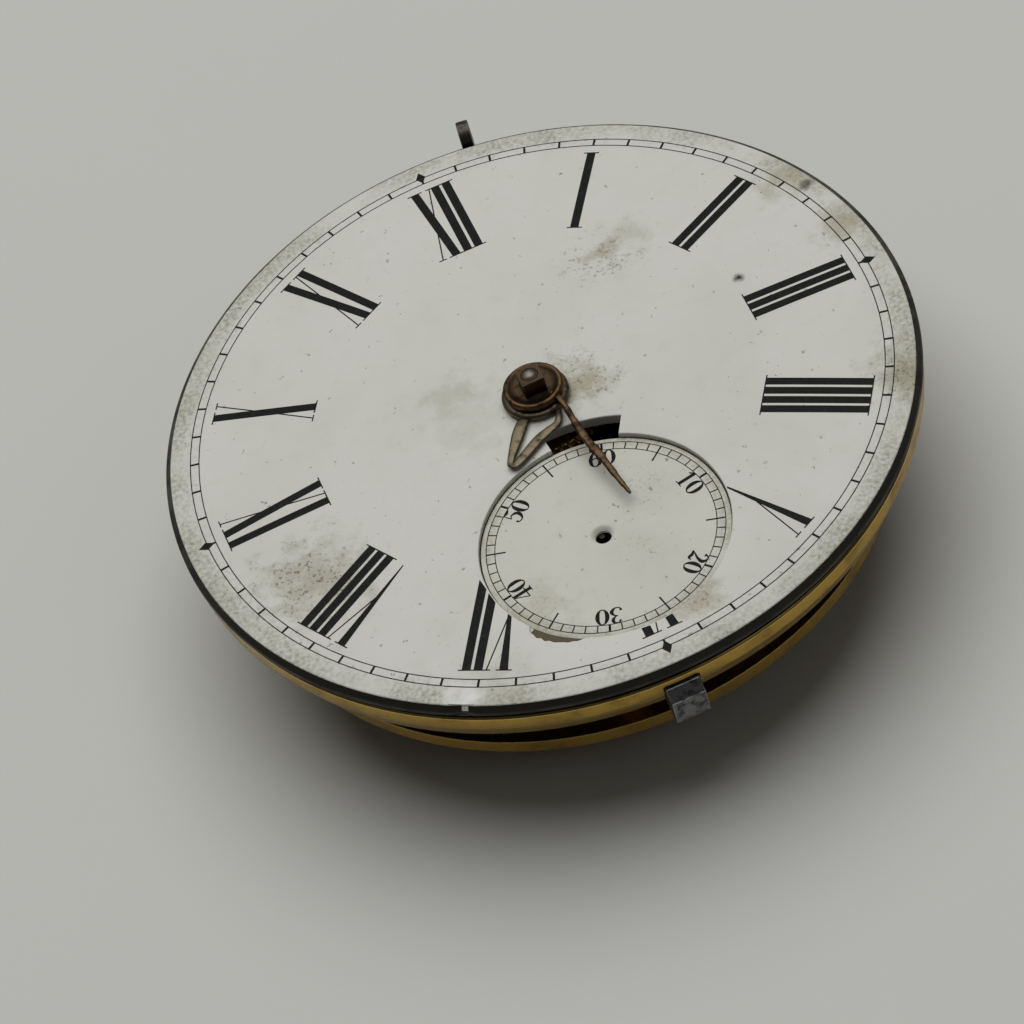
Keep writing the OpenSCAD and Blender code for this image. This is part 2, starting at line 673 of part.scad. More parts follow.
module bolt() {
    bar_z = edge_back_z + bolt_play;
    bar_h = bolt_slot_h - 2 * bolt_play;
    ridge_z = bar_z - bolt_play;
    color(steel) {
        translate([-bolt_w / 2, -bolt_reach + bolt_nib_t / 2, bar_z])
            cube([bolt_w, bolt_reach - bolt_nib_t / 2 - bolt_tail_r, bar_h]);
        translate([-bolt_w / 2, 0, 0]) rotate([90, 0, 90]) linear_extrude(bolt_w)
            polygon([[-bolt_reach + bolt_nib_t, bar_z + bar_h],
                [-bolt_reach + bolt_nib_t / 3, bar_z + bar_h],
                [-bolt_reach, ridge_z], [-bolt_reach + bolt_play, -bolt_drop + bolt_play],
                [-bolt_reach + bolt_nib_t / 3, -bolt_drop], [-bolt_reach + bolt_nib_t, -bolt_drop]]);
    }
}

bolt_spring_t = 0.22;
bolt_spring_h = 0.4;
bolt_spring_foot = [-8.2, -9.2];
// Bends of the spring: one from its foot, two from its tip
bolt_spring_knee = [2.2, -1.6];
bolt_spring_bends = [[-3.4, -0.25], [-1.4, 0]];

module bolt_spring() {
    tip = [0, -bolt_tail_r + bolt_spring_t / 2 + bolt_play];
    color(blued) difference() {
        union() {
            at(bolt_spring_foot, edge_back_z) cylinder(r = small_head_r + pin_play, h = bolt_spring_h);
            translate([0, 0, edge_back_z + bolt_play])
                strip([bolt_spring_foot, bolt_spring_foot + bolt_spring_knee, tip + bolt_spring_bends[0],
                    tip + bolt_spring_bends[1], tip + [bolt_w / 3, 0]],
                    bolt_spring_t, bolt_spring_h - bolt_play);
        }
        hole(bolt_spring_foot, small_shank_r + pin_play, edge_back_z + bolt_spring_h, bolt_spring_h);
    }
}

// Barrel, its bar, set-up work and chain

barrel_pivot_r = 0.7;
barrel_top_z = plate_in_z - 2 * stack_gap;
barrel_back_z = top_out_z + stack_gap;
barrel_floor_h = 0.4;
cover_h = 0.3;
bar_dir = barrel_angle - 90;
bar_end = 1.5;
bar_half = barrel_r + barrel_gap + bar_end;
bar_screws = [barrel_at + polar(bar_half, bar_dir), barrel_at - polar(bar_half, bar_dir)];
bar_w = 4.6;

module barrel() {
    color(brass) at(barrel_at) difference() {
        translate([0, 0, barrel_back_z])
            cylinder(r = barrel_r, h = barrel_top_z - barrel_back_z, $fn = 128);
        translate([0, 0, barrel_back_z - cut])
            cylinder(r = barrel_r - barrel_wall, h = barrel_top_z - barrel_floor_h - barrel_back_z + cut);
        hole([0, 0], barrel_pivot_r + pivot_play, barrel_top_z, barrel_top_z - barrel_back_z);
    }
}

module barrel_cover() {
    color(brass) at(barrel_at, barrel_back_z) difference() {
        cylinder(r = barrel_r - barrel_wall - pin_play, h = cover_h);
        translate([0, 0, -cut]) cylinder(r = barrel_pivot_r + pivot_play, h = cover_h + 2 * cut);
        translate([0, barrel_r - barrel_wall, -cut]) cylinder(r = 2 * barrel_wall, h = cover_h + 2 * cut);
    }
}

module barrel_arbor() {
    core_front_z = barrel_top_z - barrel_floor_h - stack_gap;
    core_back_z = barrel_back_z + cover_h + stack_gap;
    end_z = top_out_z - bar_h;
    color(steel) at(barrel_at) {
        turned([[edge_back_z, core_front_z, barrel_pivot_r], [core_front_z, core_back_z, barrel_core_r],
            [core_back_z, end_z, barrel_pivot_r]]);
        square_end(setup_square, edge_back_z, ratchet_h + stack_gap);
    }
}

// A square end with its corners turned off
module square_end(s, z, h) {
    translate([0, 0, z]) intersection() {
        translate([-s / 2, -s / 2, -cut / 2]) cube([s, s, h + cut / 2]);
        translate([0, 0, -cut / 2]) cylinder(r = s * 0.68, h = h + cut / 2);
    }
}

module mainspring() {
    front_z = barrel_top_z - barrel_floor_h - stack_gap;
    back_z = barrel_back_z + cover_h + stack_gap;
    outer_r = barrel_r - barrel_wall - mainspring_t / 2 - stack_gap;
    color(blued) at(barrel_at, back_z)
        strip(spiral(barrel_core_r + mainspring_t / 2 + pin_play, outer_r, mainspring_turns, 0, 36),
            mainspring_t, front_z - back_z);
}

module barrel_bar() {
    color(gilt) difference() {
        translate([0, 0, top_out_z - bar_h]) linear_extrude(bar_h) {
            translate(barrel_at) circle(r = bar_w * 0.72);
            translate(barrel_at) rotate(bar_dir) square([2 * bar_half, bar_w * 0.62], center = true);
            for (p = bar_screws) translate(p) circle(r = bar_w / 2);
        }
        hole(barrel_at, barrel_pivot_r + pivot_play, top_out_z, bar_h);
        for (p = bar_screws) hole(p, big_shank_r + pin_play, top_out_z, bar_h);
    }
}

ratchet_h = 0.4;
ratchet_teeth = 18;
ratchet_tooth_h = 0.3;
click_tail_w = 1.0;
click_rim = 0.1;
ratchet_r = 2.2;
setup_square = 1.0;
click_reach = 4.1;
click_at = barrel_at + polar(click_reach, 20);

// Outline of a ratchet with saw teeth that lean the way of lean, 1 or -1
function saw(n, r, depth, lean) = [for (i = [0:n - 1], k = [0, 1])
    polar(k == 0 ? r : r - depth, lean * (i * 360 / n + (k == 0 ? 0 : 12)))];

module setup_ratchet() {
    square_r = setup_square + 2 * pin_play;
    color(steel) at(barrel_at, edge_back_z + pivot_play) difference() {
        linear_extrude(ratchet_h - pivot_play) polygon(saw(ratchet_teeth, ratchet_r, ratchet_tooth_h, 1));
        translate([-square_r / 2, -square_r / 2, -cut]) cube([square_r, square_r, ratchet_h + 2 * cut]);
    }
}

module setup_click() {
    tip = barrel_at + polar(ratchet_r + pivot_play, 50);
    side = polar(click_tail_w / 2, heading(click_at, tip) + 90);
    color(steel) difference() {
        union() {
            at(click_at, edge_back_z) cylinder(r = small_head_r + click_rim, h = ratchet_h);
            translate([0, 0, edge_back_z]) linear_extrude(ratchet_h)
                polygon([click_at + side, tip, click_at - side]);
        }
        hole(click_at, small_shank_r + pin_play, edge_back_z + ratchet_h, ratchet_h);
    }
}

// Sizes of the fusee
fusee_pivot_r = 0.6;
fusee_back_pivot_r = 1.05;
fusee_neck_r = 1.68;
fusee_groove = 0.28;
fusee_groove_lead = 0.1;
maintaining_h = 0.2;
maintaining_r = 5.4;
maintaining_teeth = 60;
maintaining_tooth_h = 0.22;
fusee_foot_z = great_wheel_z - maintaining_h - 3 * pivot_play;
fusee_head_gap = 0.45;
fusee_head_z = top_in_z + fusee_head_gap;
fusee_pitch = (fusee_foot_z - fusee_head_z - 2 * fusee_groove_lead) / fusee_turns;
fusee_cap_h = 0.2;
fusee_cap_lip = 0.12;
fusee_cap_r = fusee_top_r + fusee_cap_lip;
fusee_beak = 0.9;

// The chain: rings of four corners along a path of [point, outward direction]
coil_sides = 24;
chain_mid_r = (barrel_r + pivot_play) / cos(180 / coil_sides) + chain_t / 2;
chain_low_z = fusee_foot_z - chain_w / 2 - fusee_groove_lead - pivot_play;
run_r = fusee_foot_r - fusee_groove + chain_t / 2 + pivot_play;
// Heading of the straight run from the barrel to the fusee, and the direction square to it
run_lean = asin((chain_mid_r - run_r) / norm(fusee_at - barrel_at));
run_heading = heading(barrel_at, fusee_at) - run_lean;
run_side = run_heading + 90;
// The first turn lies just below the straight run, so that the barrel can turn
coil_top_z = chain_low_z - chain_w - stack_gap;

function chain_ring(p, out, z, inner, outer) = [
    [p[0] + inner * cos(out), p[1] + inner * sin(out), z - chain_w / 2],
    [p[0] + outer * cos(out), p[1] + outer * sin(out), z - chain_w / 2],
    [p[0] + outer * cos(out), p[1] + outer * sin(out), z + chain_w / 2],
    [p[0] + inner * cos(out), p[1] + inner * sin(out), z + chain_w / 2]];

// A band through rings of four corners, with faces split into triangles
module band(rings) {
    n = len(rings);
    points = [for (ring = rings, p = ring) p];
    sides = [for (i = [0:n - 2], k = [0:3]) let (a = 4 * i + k, b = 4 * i + (k + 1) % 4)
        each [[a, a + 4, b], [b, a + 4, b + 4]]];
    last = 4 * (n - 1);
    ends = [[0, 1, 2], [0, 2, 3], [last, last + 2, last + 1], [last, last + 3, last + 2]];
    polyhedron(points, concat(sides, ends));
}

coil_count = round(chain_turns * coil_sides);
coil_rings = [for (i = [coil_count:-1:0]) let (a = run_side + 360 * i / coil_sides)
    chain_ring(barrel_at, a, coil_top_z - chain_pitch * i / coil_sides,
        chain_mid_r - chain_t / 2, chain_mid_r + chain_t / 2)];
// The least distance between one turn and the next, measured on the turns' own corners
coil_gap = min([for (i = [0:coil_count - coil_sides])
    norm(coil_rings[i][3] - coil_rings[i + coil_sides][0])]);
echo(chain_turn_gap = coil_gap);

module chain_coils() {
    color(steel) band(coil_rings);
}

hook_arc = 70;
module chain_run() {
    inner = -chain_t / 2;
    outer = chain_t / 2;
    start = barrel_at + polar(chain_mid_r, run_side);
    end = fusee_at + polar(run_r, run_side);
    color(steel) band(concat(
        [chain_ring(start, run_side, chain_low_z, inner, outer),
            chain_ring((start + end) / 2, run_side, chain_low_z, inner, outer)],
        [for (i = [0:8]) let (a = run_side - hook_arc * i / 8)
            chain_ring(fusee_at, a, chain_low_z, run_r - chain_t / 2, run_r + chain_t / 2)]));
}

// Fusee, great wheel and the pieces that work with them

function fusee_cone_r(i) = fusee_foot_r + (fusee_top_r - fusee_foot_r) * pow(i / fusee_turns, 0.8);

module fusee() {
    // Lands and grooves of the cone, from the great wheel backwards
    profile = [for (i = [0:fusee_turns - 1]) let (z = fusee_foot_z - fusee_groove_lead - i * fusee_pitch,
        r = fusee_cone_r(i), w = min(chain_w + 2 * pivot_play, fusee_pitch - fusee_groove_lead))
        each [[r, z], [r - fusee_groove, z], [r - fusee_groove, z - w], [fusee_cone_r(i + 1), z - w]]];
    arbor_front_z = pivot_front_z;
    color(brass) at(fusee_at) {
        rotate_extrude($fn = 96) polygon(concat([[0, arbor_front_z], [fusee_pivot_r, arbor_front_z],
            [fusee_pivot_r, fusee_foot_z], [fusee_foot_r, fusee_foot_z]], profile,
            [[fusee_top_r, fusee_head_z], [fusee_cap_r, fusee_head_z],
            [fusee_cap_r, fusee_head_z - fusee_cap_h], [fusee_neck_r, fusee_head_z - fusee_cap_h],
            [fusee_neck_r, top_in_z + stack_gap], [fusee_back_pivot_r, top_in_z + stack_gap],
            [fusee_back_pivot_r, top_out_z - stack_gap], [0, top_out_z - stack_gap]]));
        rotate(45) mirror([0, 0, 1])
            square_end(winding_square, -top_out_z + stack_gap, winding_square_h - stack_gap);
        // Beak on the cap, which meets the stop arm
        translate([0, 0, fusee_head_z - fusee_cap_h + pin_play]) linear_extrude(fusee_cap_h - 2 * pin_play)
            polygon([polar(fusee_cap_r / 2, 330), polar(fusee_top_r + fusee_beak, 352),
                polar(fusee_top_r + fusee_beak, 358), polar(fusee_cap_r / 2, 20)]);
    }
}

great_hub_r = 3.2;
great_rim_w = 1.0;
great_arms = 5;

module great_wheel() {
    mesh = heading(fusee_at, centre_at);
    color(brass) at(fusee_at, great_wheel_z) rotate(mesh)
        crossed_wheel(great_teeth, great_module, great_wheel_h, great_rim_w, great_hub_r,
            fusee_pivot_r + pivot_play, great_arms, great_rim_w);
}

module maintaining_ratchet() {
    color(steel) at(fusee_at, great_wheel_z - maintaining_h) difference() {
        linear_extrude(maintaining_h)
            polygon(saw(maintaining_teeth, maintaining_r, maintaining_tooth_h, 1));
        translate([0, 0, -cut]) cylinder(r = fusee_pivot_r + pivot_play, h = maintaining_h + 2 * cut);
        for (i = [0:2]) rotate(120 * i) translate([maintaining_r * 0.55, 0, -cut])
            cylinder(r = maintaining_r * 0.24, h = maintaining_h + 2 * cut);
    }
}

detent_angle = -68;
detent_reach = 8.7;
detent_at = fusee_at + polar(detent_reach, detent_angle);
detent_gap = 0.06;
detent_w = 0.56;

module maintaining_detent() {
    tip = fusee_at + polar(maintaining_r + detent_gap, detent_angle + 42);
    side = polar(detent_w / 2, heading(detent_at, tip) + 90);
    blade_z = great_wheel_z - maintaining_h;
    blade_h = maintaining_h - 2 * pivot_play;
    color(steel) {
        at(detent_at) plain_arbor();
        translate([0, 0, blade_z]) linear_extrude(blade_h)
            polygon([detent_at + side, tip, detent_at - side]);
    }
}

stop_angle = 53;
stop_reach = 7.0;
stop_at = fusee_at + polar(stop_reach, stop_angle);
stop_pin_r = 0.35;
stop_room = 1.2;
stop_arm_w = 0.7;

module fusee_stop_arm() {
    tip = fusee_at + polar(fusee_top_r + fusee_beak + stop_room, stop_angle + 75);
    side = polar(stop_arm_w / 2, heading(stop_at, tip) + 90);
    arm_z = fusee_head_z - fusee_cap_h;
    color(steel) {
        at(stop_at) turned([[arm_z + fusee_cap_h, top_in_z + pivot_play, 2 * stop_pin_r],
            [top_in_z + pivot_play, pivot_back_z, stop_pin_r]]);
        translate([0, 0, arm_z]) linear_extrude(fusee_cap_h)
            polygon([stop_at + side, tip + side / 2, tip - side / 2, stop_at - side]);
    }
}

// Train: widths of the wheels' rims and arms, radii of their hubs
wheel_arms = 4;
centre_rim_w = 0.7;
centre_arm_w = 0.8;
centre_hub_r = 1.7;
centre_seat_r = arbor_r + 0.3;
third_rim_w = 0.55;
third_arm_w = 0.65;
third_hub_r = 1.3;
fourth_rim_w = 0.5;
fourth_arm_w = 0.6;
fourth_hub_r = 1.2;

// Turn that puts a pinion's space on the line to the wheel that drives it
function space_to(n, angle) = angle + 180 / n;

module centre_wheel() {
    color(brass) at(centre_at, centre_wheel_z) rotate(heading(centre_at, third_at))
        crossed_wheel(centre_teeth, centre_module, centre_wheel_h, centre_rim_w, centre_hub_r,
            centre_seat_r, wheel_arms, centre_arm_w);
}

module centre_arbor() {
    pinion_z = plate_in_z - stack_gap / 2 - centre_pinion_h;
    color(steel) at(centre_at) {
        turned([[setting_square_z, edge_back_z + stack_gap, centre_arbor_r],
            [edge_back_z + stack_gap, plate_in_z + centre_sink, centre_arbor_r * 2],
            [plate_in_z + centre_sink, pinion_z, centre_seat_r],
            [pinion_z, top_in_z + pivot_play, centre_arbor_r],
            [top_in_z + pivot_play, pivot_back_z, arbor_r]]);
        translate([0, 0, pinion_z]) rotate(space_to(centre_leaves, heading(centre_at, fusee_at)))
            pinion(centre_leaves, great_module, centre_pinion_h);
    }
}

module third_wheel() {
    color(brass) at(third_at, third_wheel_z) rotate(heading(third_at, fourth_at))
        crossed_wheel(third_teeth, third_module, small_wheel_h, third_rim_w, third_hub_r, arbor_r,
            wheel_arms, third_arm_w);
}

module third_arbor() {
    pinion_z = plate_in_z - pivot_play;
    color(steel) at(third_at) {
        turned([[pivot_front_z, plate_in_z + centre_sink - pivot_play, pivot_r],
            [plate_in_z + centre_sink - pivot_play, top_in_z + pivot_play, arbor_r],
            [top_in_z + pivot_play, pivot_back_z, pivot_r]]);
        translate([0, 0, pinion_z]) rotate(space_to(pinion_leaves, heading(third_at, centre_at)))
            pinion(pinion_leaves, centre_module, centre_sink - stack_gap / 2);
    }
}

module fourth_wheel() {
    color(brass) at(fourth_at, fourth_wheel_z) rotate(heading(fourth_at, escape_at))
        crossed_wheel(fourth_teeth, fourth_module, small_wheel_h, fourth_rim_w, fourth_hub_r, arbor_r,
            wheel_arms, fourth_arm_w);
}

module fourth_arbor() {
    pinion_z = third_wheel_z - stack_gap;
    color(steel) at(fourth_at) {
        turned([[seconds_face_z - seconds_t, edge_back_z, seconds_pivot_r],
            [edge_back_z, plate_in_z - pivot_play, seconds_pivot_r * 2],
            [plate_in_z - pivot_play, top_in_z + pivot_play, arbor_r],
            [top_in_z + pivot_play, pivot_back_z, pivot_r]]);
        translate([0, 0, pinion_z]) rotate(space_to(pinion_leaves, heading(fourth_at, third_at)))
            pinion(pinion_leaves, third_module, small_wheel_h + 2 * stack_gap);
    }
}

escape_teeth = 15;
escape_tooth_h = 0.864;
escape_root_r = escape_r - escape_tooth_h;
escape_rim_w = 0.44;
escape_hub_r = 0.95;
escape_arm_w = 0.5;

// One pointed tooth, leaning the way that the wheel turns
module escape_wheel() {
    tooth = [[escape_root_r, -15], [escape_root_r, -13], [escape_r, -1.2], [escape_r, 0],
        [escape_root_r, -4.5]];
    color(brass) at(escape_at, escape_wheel_z) difference() {
        linear_extrude(escape_wheel_h) polygon([for (i = [0:escape_teeth - 1], t = tooth)
            polar(t[0], t[1] + (i + 0.5) * 360 / escape_teeth + heading(escape_at, pallet_at))]);
        difference() {
            translate([0, 0, -cut]) cylinder(r = escape_root_r - escape_rim_w, h = frame_gap);
            translate([0, 0, -2 * cut]) cylinder(r = escape_hub_r, h = frame_gap + 2 * cut);
            for (i = [0:wheel_arms - 1]) rotate(90 * i + 45) translate([0, -escape_arm_w / 2, -2 * cut])
                cube([escape_r, escape_arm_w, frame_gap + 2 * cut]);
        }
        translate([0, 0, -cut]) cylinder(r = arbor_r, h = frame_gap);
    }
}

module escape_arbor() {
    pinion_z = fourth_wheel_z - stack_gap;
    color(steel) at(escape_at) {
        plain_arbor();
        translate([0, 0, pinion_z]) rotate(space_to(pinion_leaves, heading(escape_at, fourth_at)))
            pinion(pinion_leaves, fourth_module, small_wheel_h + 2 * stack_gap);
    }
}

// Lever escapement

notch_play = 0.035;
fork_w = 1.5;
fork_depth = 0.42;
fork_tip = 0.22;
fork_horn = 0.22;
lever_tail = 2.2;
lever_tail_w = 0.6;
lever_body_w = 1.1;
lever_hub_r = 0.8;
guard_gap = 0.1;
lever_w = 0.46;
banking_r = 0.15;
banking_swing = 5.4;
banking_along = 2.85;
lever_dir = heading(pallet_at, balance_at);
banking_off = banking_along * tan(banking_swing) + lever_w / 2 + banking_r;
banking_at = [for (s = [-1, 1])
    pallet_at + polar(banking_along, lever_dir) + s * polar(banking_off, lever_dir + 90)];
guard_r = 0.11;

module lever() {
    notch_w = 2 * (impulse_pin_r + notch_play);
    fork_in = lever_len - fork_depth;
    fork_out = lever_len + fork_tip;
    neck = fork_in - 2 * fork_depth;
    guard_at = lever_len + impulse_r - roller_r - guard_r - guard_gap;
    color(steel) at(pallet_at, lever_z) rotate(lever_dir) {
        difference() {
            union() {
                cylinder(r = lever_hub_r, h = lever_h);
                linear_extrude(lever_h) {
                    mirrored([[-lever_tail, lever_tail_w / 2], [0, lever_body_w / 2], [neck, lever_w / 2],
                        [fork_in, fork_w / 2 - fork_horn], [fork_out, fork_w / 2 - fork_horn / 2]]);
                }
                translate([guard_at, 0, lever_h - stack_gap]) mirror([0, 0, 1])
                    cylinder(r = guard_r, h = stack_gap + roller_h);
            }
            translate([lever_len - impulse_pin_r - 3 * notch_play, -notch_w / 2, -cut])
                cube([fork_w, notch_w, lever_h + 2 * cut]);
            translate([0, 0, -cut]) cylinder(r = arbor_r, h = lever_h + 2 * cut);
        }
    }
}

pallet_arm_w = 0.55;
pallet_lift = 0.08;
pallet_hub_r = 0.5;
pallet_lock = escape_r * tan(pallet_span / 2);
pallet_slot = 0.4;

module pallet_arms() {
    for (s = [0, 1]) mirror([0, s, 0]) rotate(90 - pallet_span / 2) children();
}

// The arms lie along the tangents of the escape wheel, just clear of its tooth points
module pallets() {
    color(steel) at(pallet_at, pallet_z) rotate(heading(pallet_at, escape_at)) difference() {
        union() {
            cylinder(r = pallet_hub_r, h = pallet_h);
            pallet_arms() translate([0, pallet_lift, 0])
                cube([pallet_lock - pallet_slot, pallet_arm_w, pallet_h]);
        }
        translate([0, 0, -cut]) cylinder(r = arbor_r, h = pallet_h + 2 * cut);
    }
}

module pallet_stones() {
    color(ruby) at(pallet_at, pallet_z) rotate(heading(pallet_at, escape_at)) pallet_arms()
        translate([pallet_lock - pallet_slot, 0, 0]) linear_extrude(pallet_h)
            polygon([[0, pallet_lift], [pallet_slot, pallet_lift],
                [2 * pallet_slot, pallet_lift + pallet_arm_w * 0.2],
                [2 * pallet_slot, pallet_lift + pallet_arm_w * 0.8], [0, pallet_lift + pallet_arm_w]]);
}

module pallet_arbor() {
    color(steel) at(pallet_at) plain_arbor();
}

module banking_pins() {
    color(brass) for (p = banking_at) at(p, top_out_z)
        cylinder(r = banking_r, h = lever_z + 0.8 * lever_h - top_out_z);
}

staff_r = 0.5;
// Hollow in the roller's edge, which lets the guard pin pass
roller_cut_r = 0.36;
roller_cut_out = 0.22;
staff_pivot_r = 0.09;
jewel_r = 0.7;
jewel_h = 0.3;

module roller() {
    color(steel) at(balance_at, roller_z) rotate(heading(balance_at, pallet_at)) difference() {
        cylinder(r = roller_r, h = roller_h);
        translate([0, 0, -cut]) cylinder(r = staff_r, h = roller_h + 2 * cut);
        translate([roller_r + roller_cut_out, 0, -cut]) cylinder(r = roller_cut_r, h = roller_h + 2 * cut);
        translate([impulse_r, 0, -cut]) cylinder(r = impulse_pin_r, h = roller_h + 2 * cut);
    }
}

module impulse_pin() {
    color(ruby) at(balance_at, roller_z) rotate(heading(balance_at, pallet_at))
        translate([impulse_r, 0, 0]) cylinder(r = impulse_pin_r, h = roller_h + stack_gap + lever_h);
}

cock_end_z = cock_z - cock_h;

module balance_staff() {
    low_z = potence_z + potence_h;
    color(steel) at(balance_at) turned([[low_z - jewel_h / 3, potence_z, staff_pivot_r],
        [potence_z, balance_z, staff_r],
        [balance_z, cock_z + stack_gap, staff_r * 0.8],
        [cock_z + stack_gap, cock_end_z + pin_play, staff_pivot_r]]);
}

balance_arms = 3;
balance_arm_w = 0.9;
balance_hub_r = 1.3;

module balance_wheel() {
    inner_r = balance_r - balance_rim_w;
    arm_h = balance_h * 0.55;
    color("gold") at(balance_at, balance_z) difference() {
        union() {
            difference() {
                cylinder(r = balance_r, h = balance_h, $fn = 128);
                translate([0, 0, -cut]) cylinder(r = inner_r, h = balance_h + 2 * cut, $fn = 128);
            }
            translate([0, 0, balance_h - arm_h]) {
                cylinder(r = balance_hub_r, h = arm_h);
                for (i = [0:balance_arms - 1]) rotate(30 + i * 360 / balance_arms)
                    translate([0, -balance_arm_w / 2, 0])
                        cube([balance_r - balance_rim_w / 2, balance_arm_w, arm_h]);
            }
        }
        translate([0, 0, -cut]) cylinder(r = staff_r, h = balance_h + 2 * cut);
    }
}

regulator_dir = 32;
curb_pin_r = 0.09;
curb_gap = 0.06;
index_reach = 1.9;
index_foot_w = 1.7;
index_tip_w = 0.6;
index_ring_w = 0.95;
stud_dir = 85;
stud_r = 0.34;
stud_room = 0.02;
stud_at = balance_at + polar(hairspring_r + stud_r + stud_room, stud_dir);
collet_w = 0.35;
hairspring_in_r = staff_r + collet_w;
hairspring_pitch = (hairspring_r - hairspring_in_r) / hairspring_turns;
hairspring_sides = 36;
hairspring_path = spiral(hairspring_in_r, hairspring_r, hairspring_turns,
    stud_dir - 360 * hairspring_turns, hairspring_sides);
// The least gap between one coil and the next, measured on the path's own points
hairspring_gap = min([for (i = [0:len(hairspring_path) - 1 - hairspring_sides])
    norm(hairspring_path[i] - hairspring_path[i + hairspring_sides])]) - hairspring_t;
echo(balance_spring_gap = hairspring_gap);

module balance_spring() {
    color(blued) at(balance_at, hairspring_z) strip(hairspring_path, hairspring_t, hairspring_h);
}

module spring_stud() {
    color(steel) at(stud_at) turned([[top_in_z - top_plate_h / 3, top_out_z, stud_r],
        [top_out_z, hairspring_z - stack_gap / 2, stud_r]]);
}

module regulator() {
    pin_at = hairspring_r - hairspring_pitch * (stud_dir - regulator_dir) / 360;
    pin_off = curb_pin_r + hairspring_t / 2 + curb_gap;
    tip = balance_r + index_reach;
    color(steel) at(balance_at, top_out_z - regulator_h + pivot_play) rotate(regulator_dir) {
        difference() {
            union() {
                cylinder(r = collar_r + index_ring_w, h = regulator_h - 2 * pivot_play);
                linear_extrude(regulator_h - 2 * pivot_play)
                    mirrored([[collar_r, index_foot_w / 2], [tip - 2 * index_tip_w, index_tip_w / 2],
                        [tip, cut / 10]]);
            }
            translate([0, 0, -cut]) cylinder(r = collar_r + pivot_play, h = regulator_h + 2 * cut);
        }
        for (s = [-1, 1]) translate([pin_at + s * pin_off, 0, -stack_gap - hairspring_h])
            cylinder(r = curb_pin_r, h = stack_gap + hairspring_h + pivot_play);
    }
}

// Balance cock and potence

cock_dir = 206;
cock_table_r = 4.2;
cock_waist = 1.7;
cock_foot_skirt = 1.2;
balance_room = 0.4;
cock_foot_r = 2.9;
cock_foot_room = 0.8;
cock_foot_reach = balance_r + cock_foot_r + cock_foot_room;
cock_foot_at = balance_at + polar(cock_foot_reach, cock_dir);
cock_screw_at = cock_foot_at;
steady_r = 0.32;
steady_reach = 1.9;
cock_steadies = [for (s = [-1, 1]) cock_foot_at + polar(steady_reach, cock_dir + s * 100)];

// Outline of the cock: a round table, a waist and a round foot
module cock_outline() {
    translate(balance_at) circle(r = cock_table_r);
    translate(cock_foot_at) circle(r = cock_foot_r);
    translate(balance_at) rotate(cock_dir) mirrored([[0, cock_table_r], [cock_table_r, cock_waist * 1.4],
        [cock_foot_reach * 0.62, cock_waist], [cock_foot_reach, cock_foot_r]]);
}

module balance_cock() {
    color(gilt) difference() {
        union() {
            translate([0, 0, cock_end_z]) linear_extrude(cock_h) cock_outline();
            // Foot: what lies outside the balance goes down to the plate
            difference() {
                translate([0, 0, cock_z - cut]) linear_extrude(top_out_z - cock_z + cut)
                    intersection() {
                        cock_outline();
                        translate(cock_foot_at) circle(r = cock_foot_r + cock_foot_skirt);
                    }
                at(balance_at, cock_z - 2 * cut)
                    cylinder(r = balance_r + balance_room, h = frame_gap, $fn = 128);
            }
            for (p = cock_steadies) at(p, top_out_z) cylinder(r = steady_r, h = top_plate_h * 0.8);
        }
        hole(cock_screw_at, big_shank_r + pin_play, top_out_z, top_out_z - cock_end_z);
        hole(balance_at, jewel_r, cock_z, cock_h);
        for (p = cap_screws) hole(p, tiny_shank_r + pin_play, cock_z, cock_h);
    }
}

cap_r = 1.9;
cap_screw_reach = 1.35;
cap_screws = [for (s = [-1, 1]) balance_at + polar(cap_screw_reach, cock_dir + 90 * s)];

module endstone_cap() {
    color(steel) difference() {
        at(balance_at, cock_end_z - cap_h) cylinder(r = cap_r, h = cap_h);
        hole(balance_at, jewel_r, cock_end_z, cap_h);
        for (p = cap_screws) hole(p, tiny_shank_r + pin_play, cock_end_z, cap_h);
    }
}

module endstone_screws() {
    color(blued) for (p = cap_screws)
        screw(p, cock_end_z - cap_h, tiny_head_r, tiny_head_h, tiny_shank_r, cap_h + cock_h / 2);
}

module hole_jewel(z) {
    at(balance_at, z) difference() {
        cylinder(r = jewel_r, h = jewel_h);
        translate([0, 0, -cut]) cylinder(r = staff_pivot_r + pivot_play / 2, h = jewel_h + 2 * cut);
    }
}

module jewels() {
    color(ruby) {
        hole_jewel(cock_end_z);
        at(balance_at, cock_end_z - cap_h) cylinder(r = jewel_r, h = cap_h - pin_play);
        hole_jewel(potence_z + potence_h - jewel_h);
    }
}

potence_dir = 140;
potence_w = 2.2;
potence_len = 3.1;
potence_foot = balance_at + polar(potence_len, potence_dir);

module potence() {
    arm_w = potence_w;
    color(gilt) difference() {
        union() {
            translate([0, 0, potence_z]) linear_extrude(potence_h) {
                translate(balance_at) circle(r = arm_w / 2);
                translate(potence_foot) circle(r = arm_w / 2);
                translate(balance_at) rotate(potence_dir) translate([0, -arm_w / 2])
                    square([potence_len, arm_w]);
            }
            at(potence_foot, top_in_z) cylinder(r = arm_w / 2, h = potence_z - top_in_z + cut);
        }
        hole(balance_at, jewel_r, potence_z + potence_h, potence_h);
        at(potence_foot, top_in_z - cut)
            cylinder(r = small_shank_r + pin_play, h = potence_h + pin_play + cut);
    }
}

// Motion work and hands

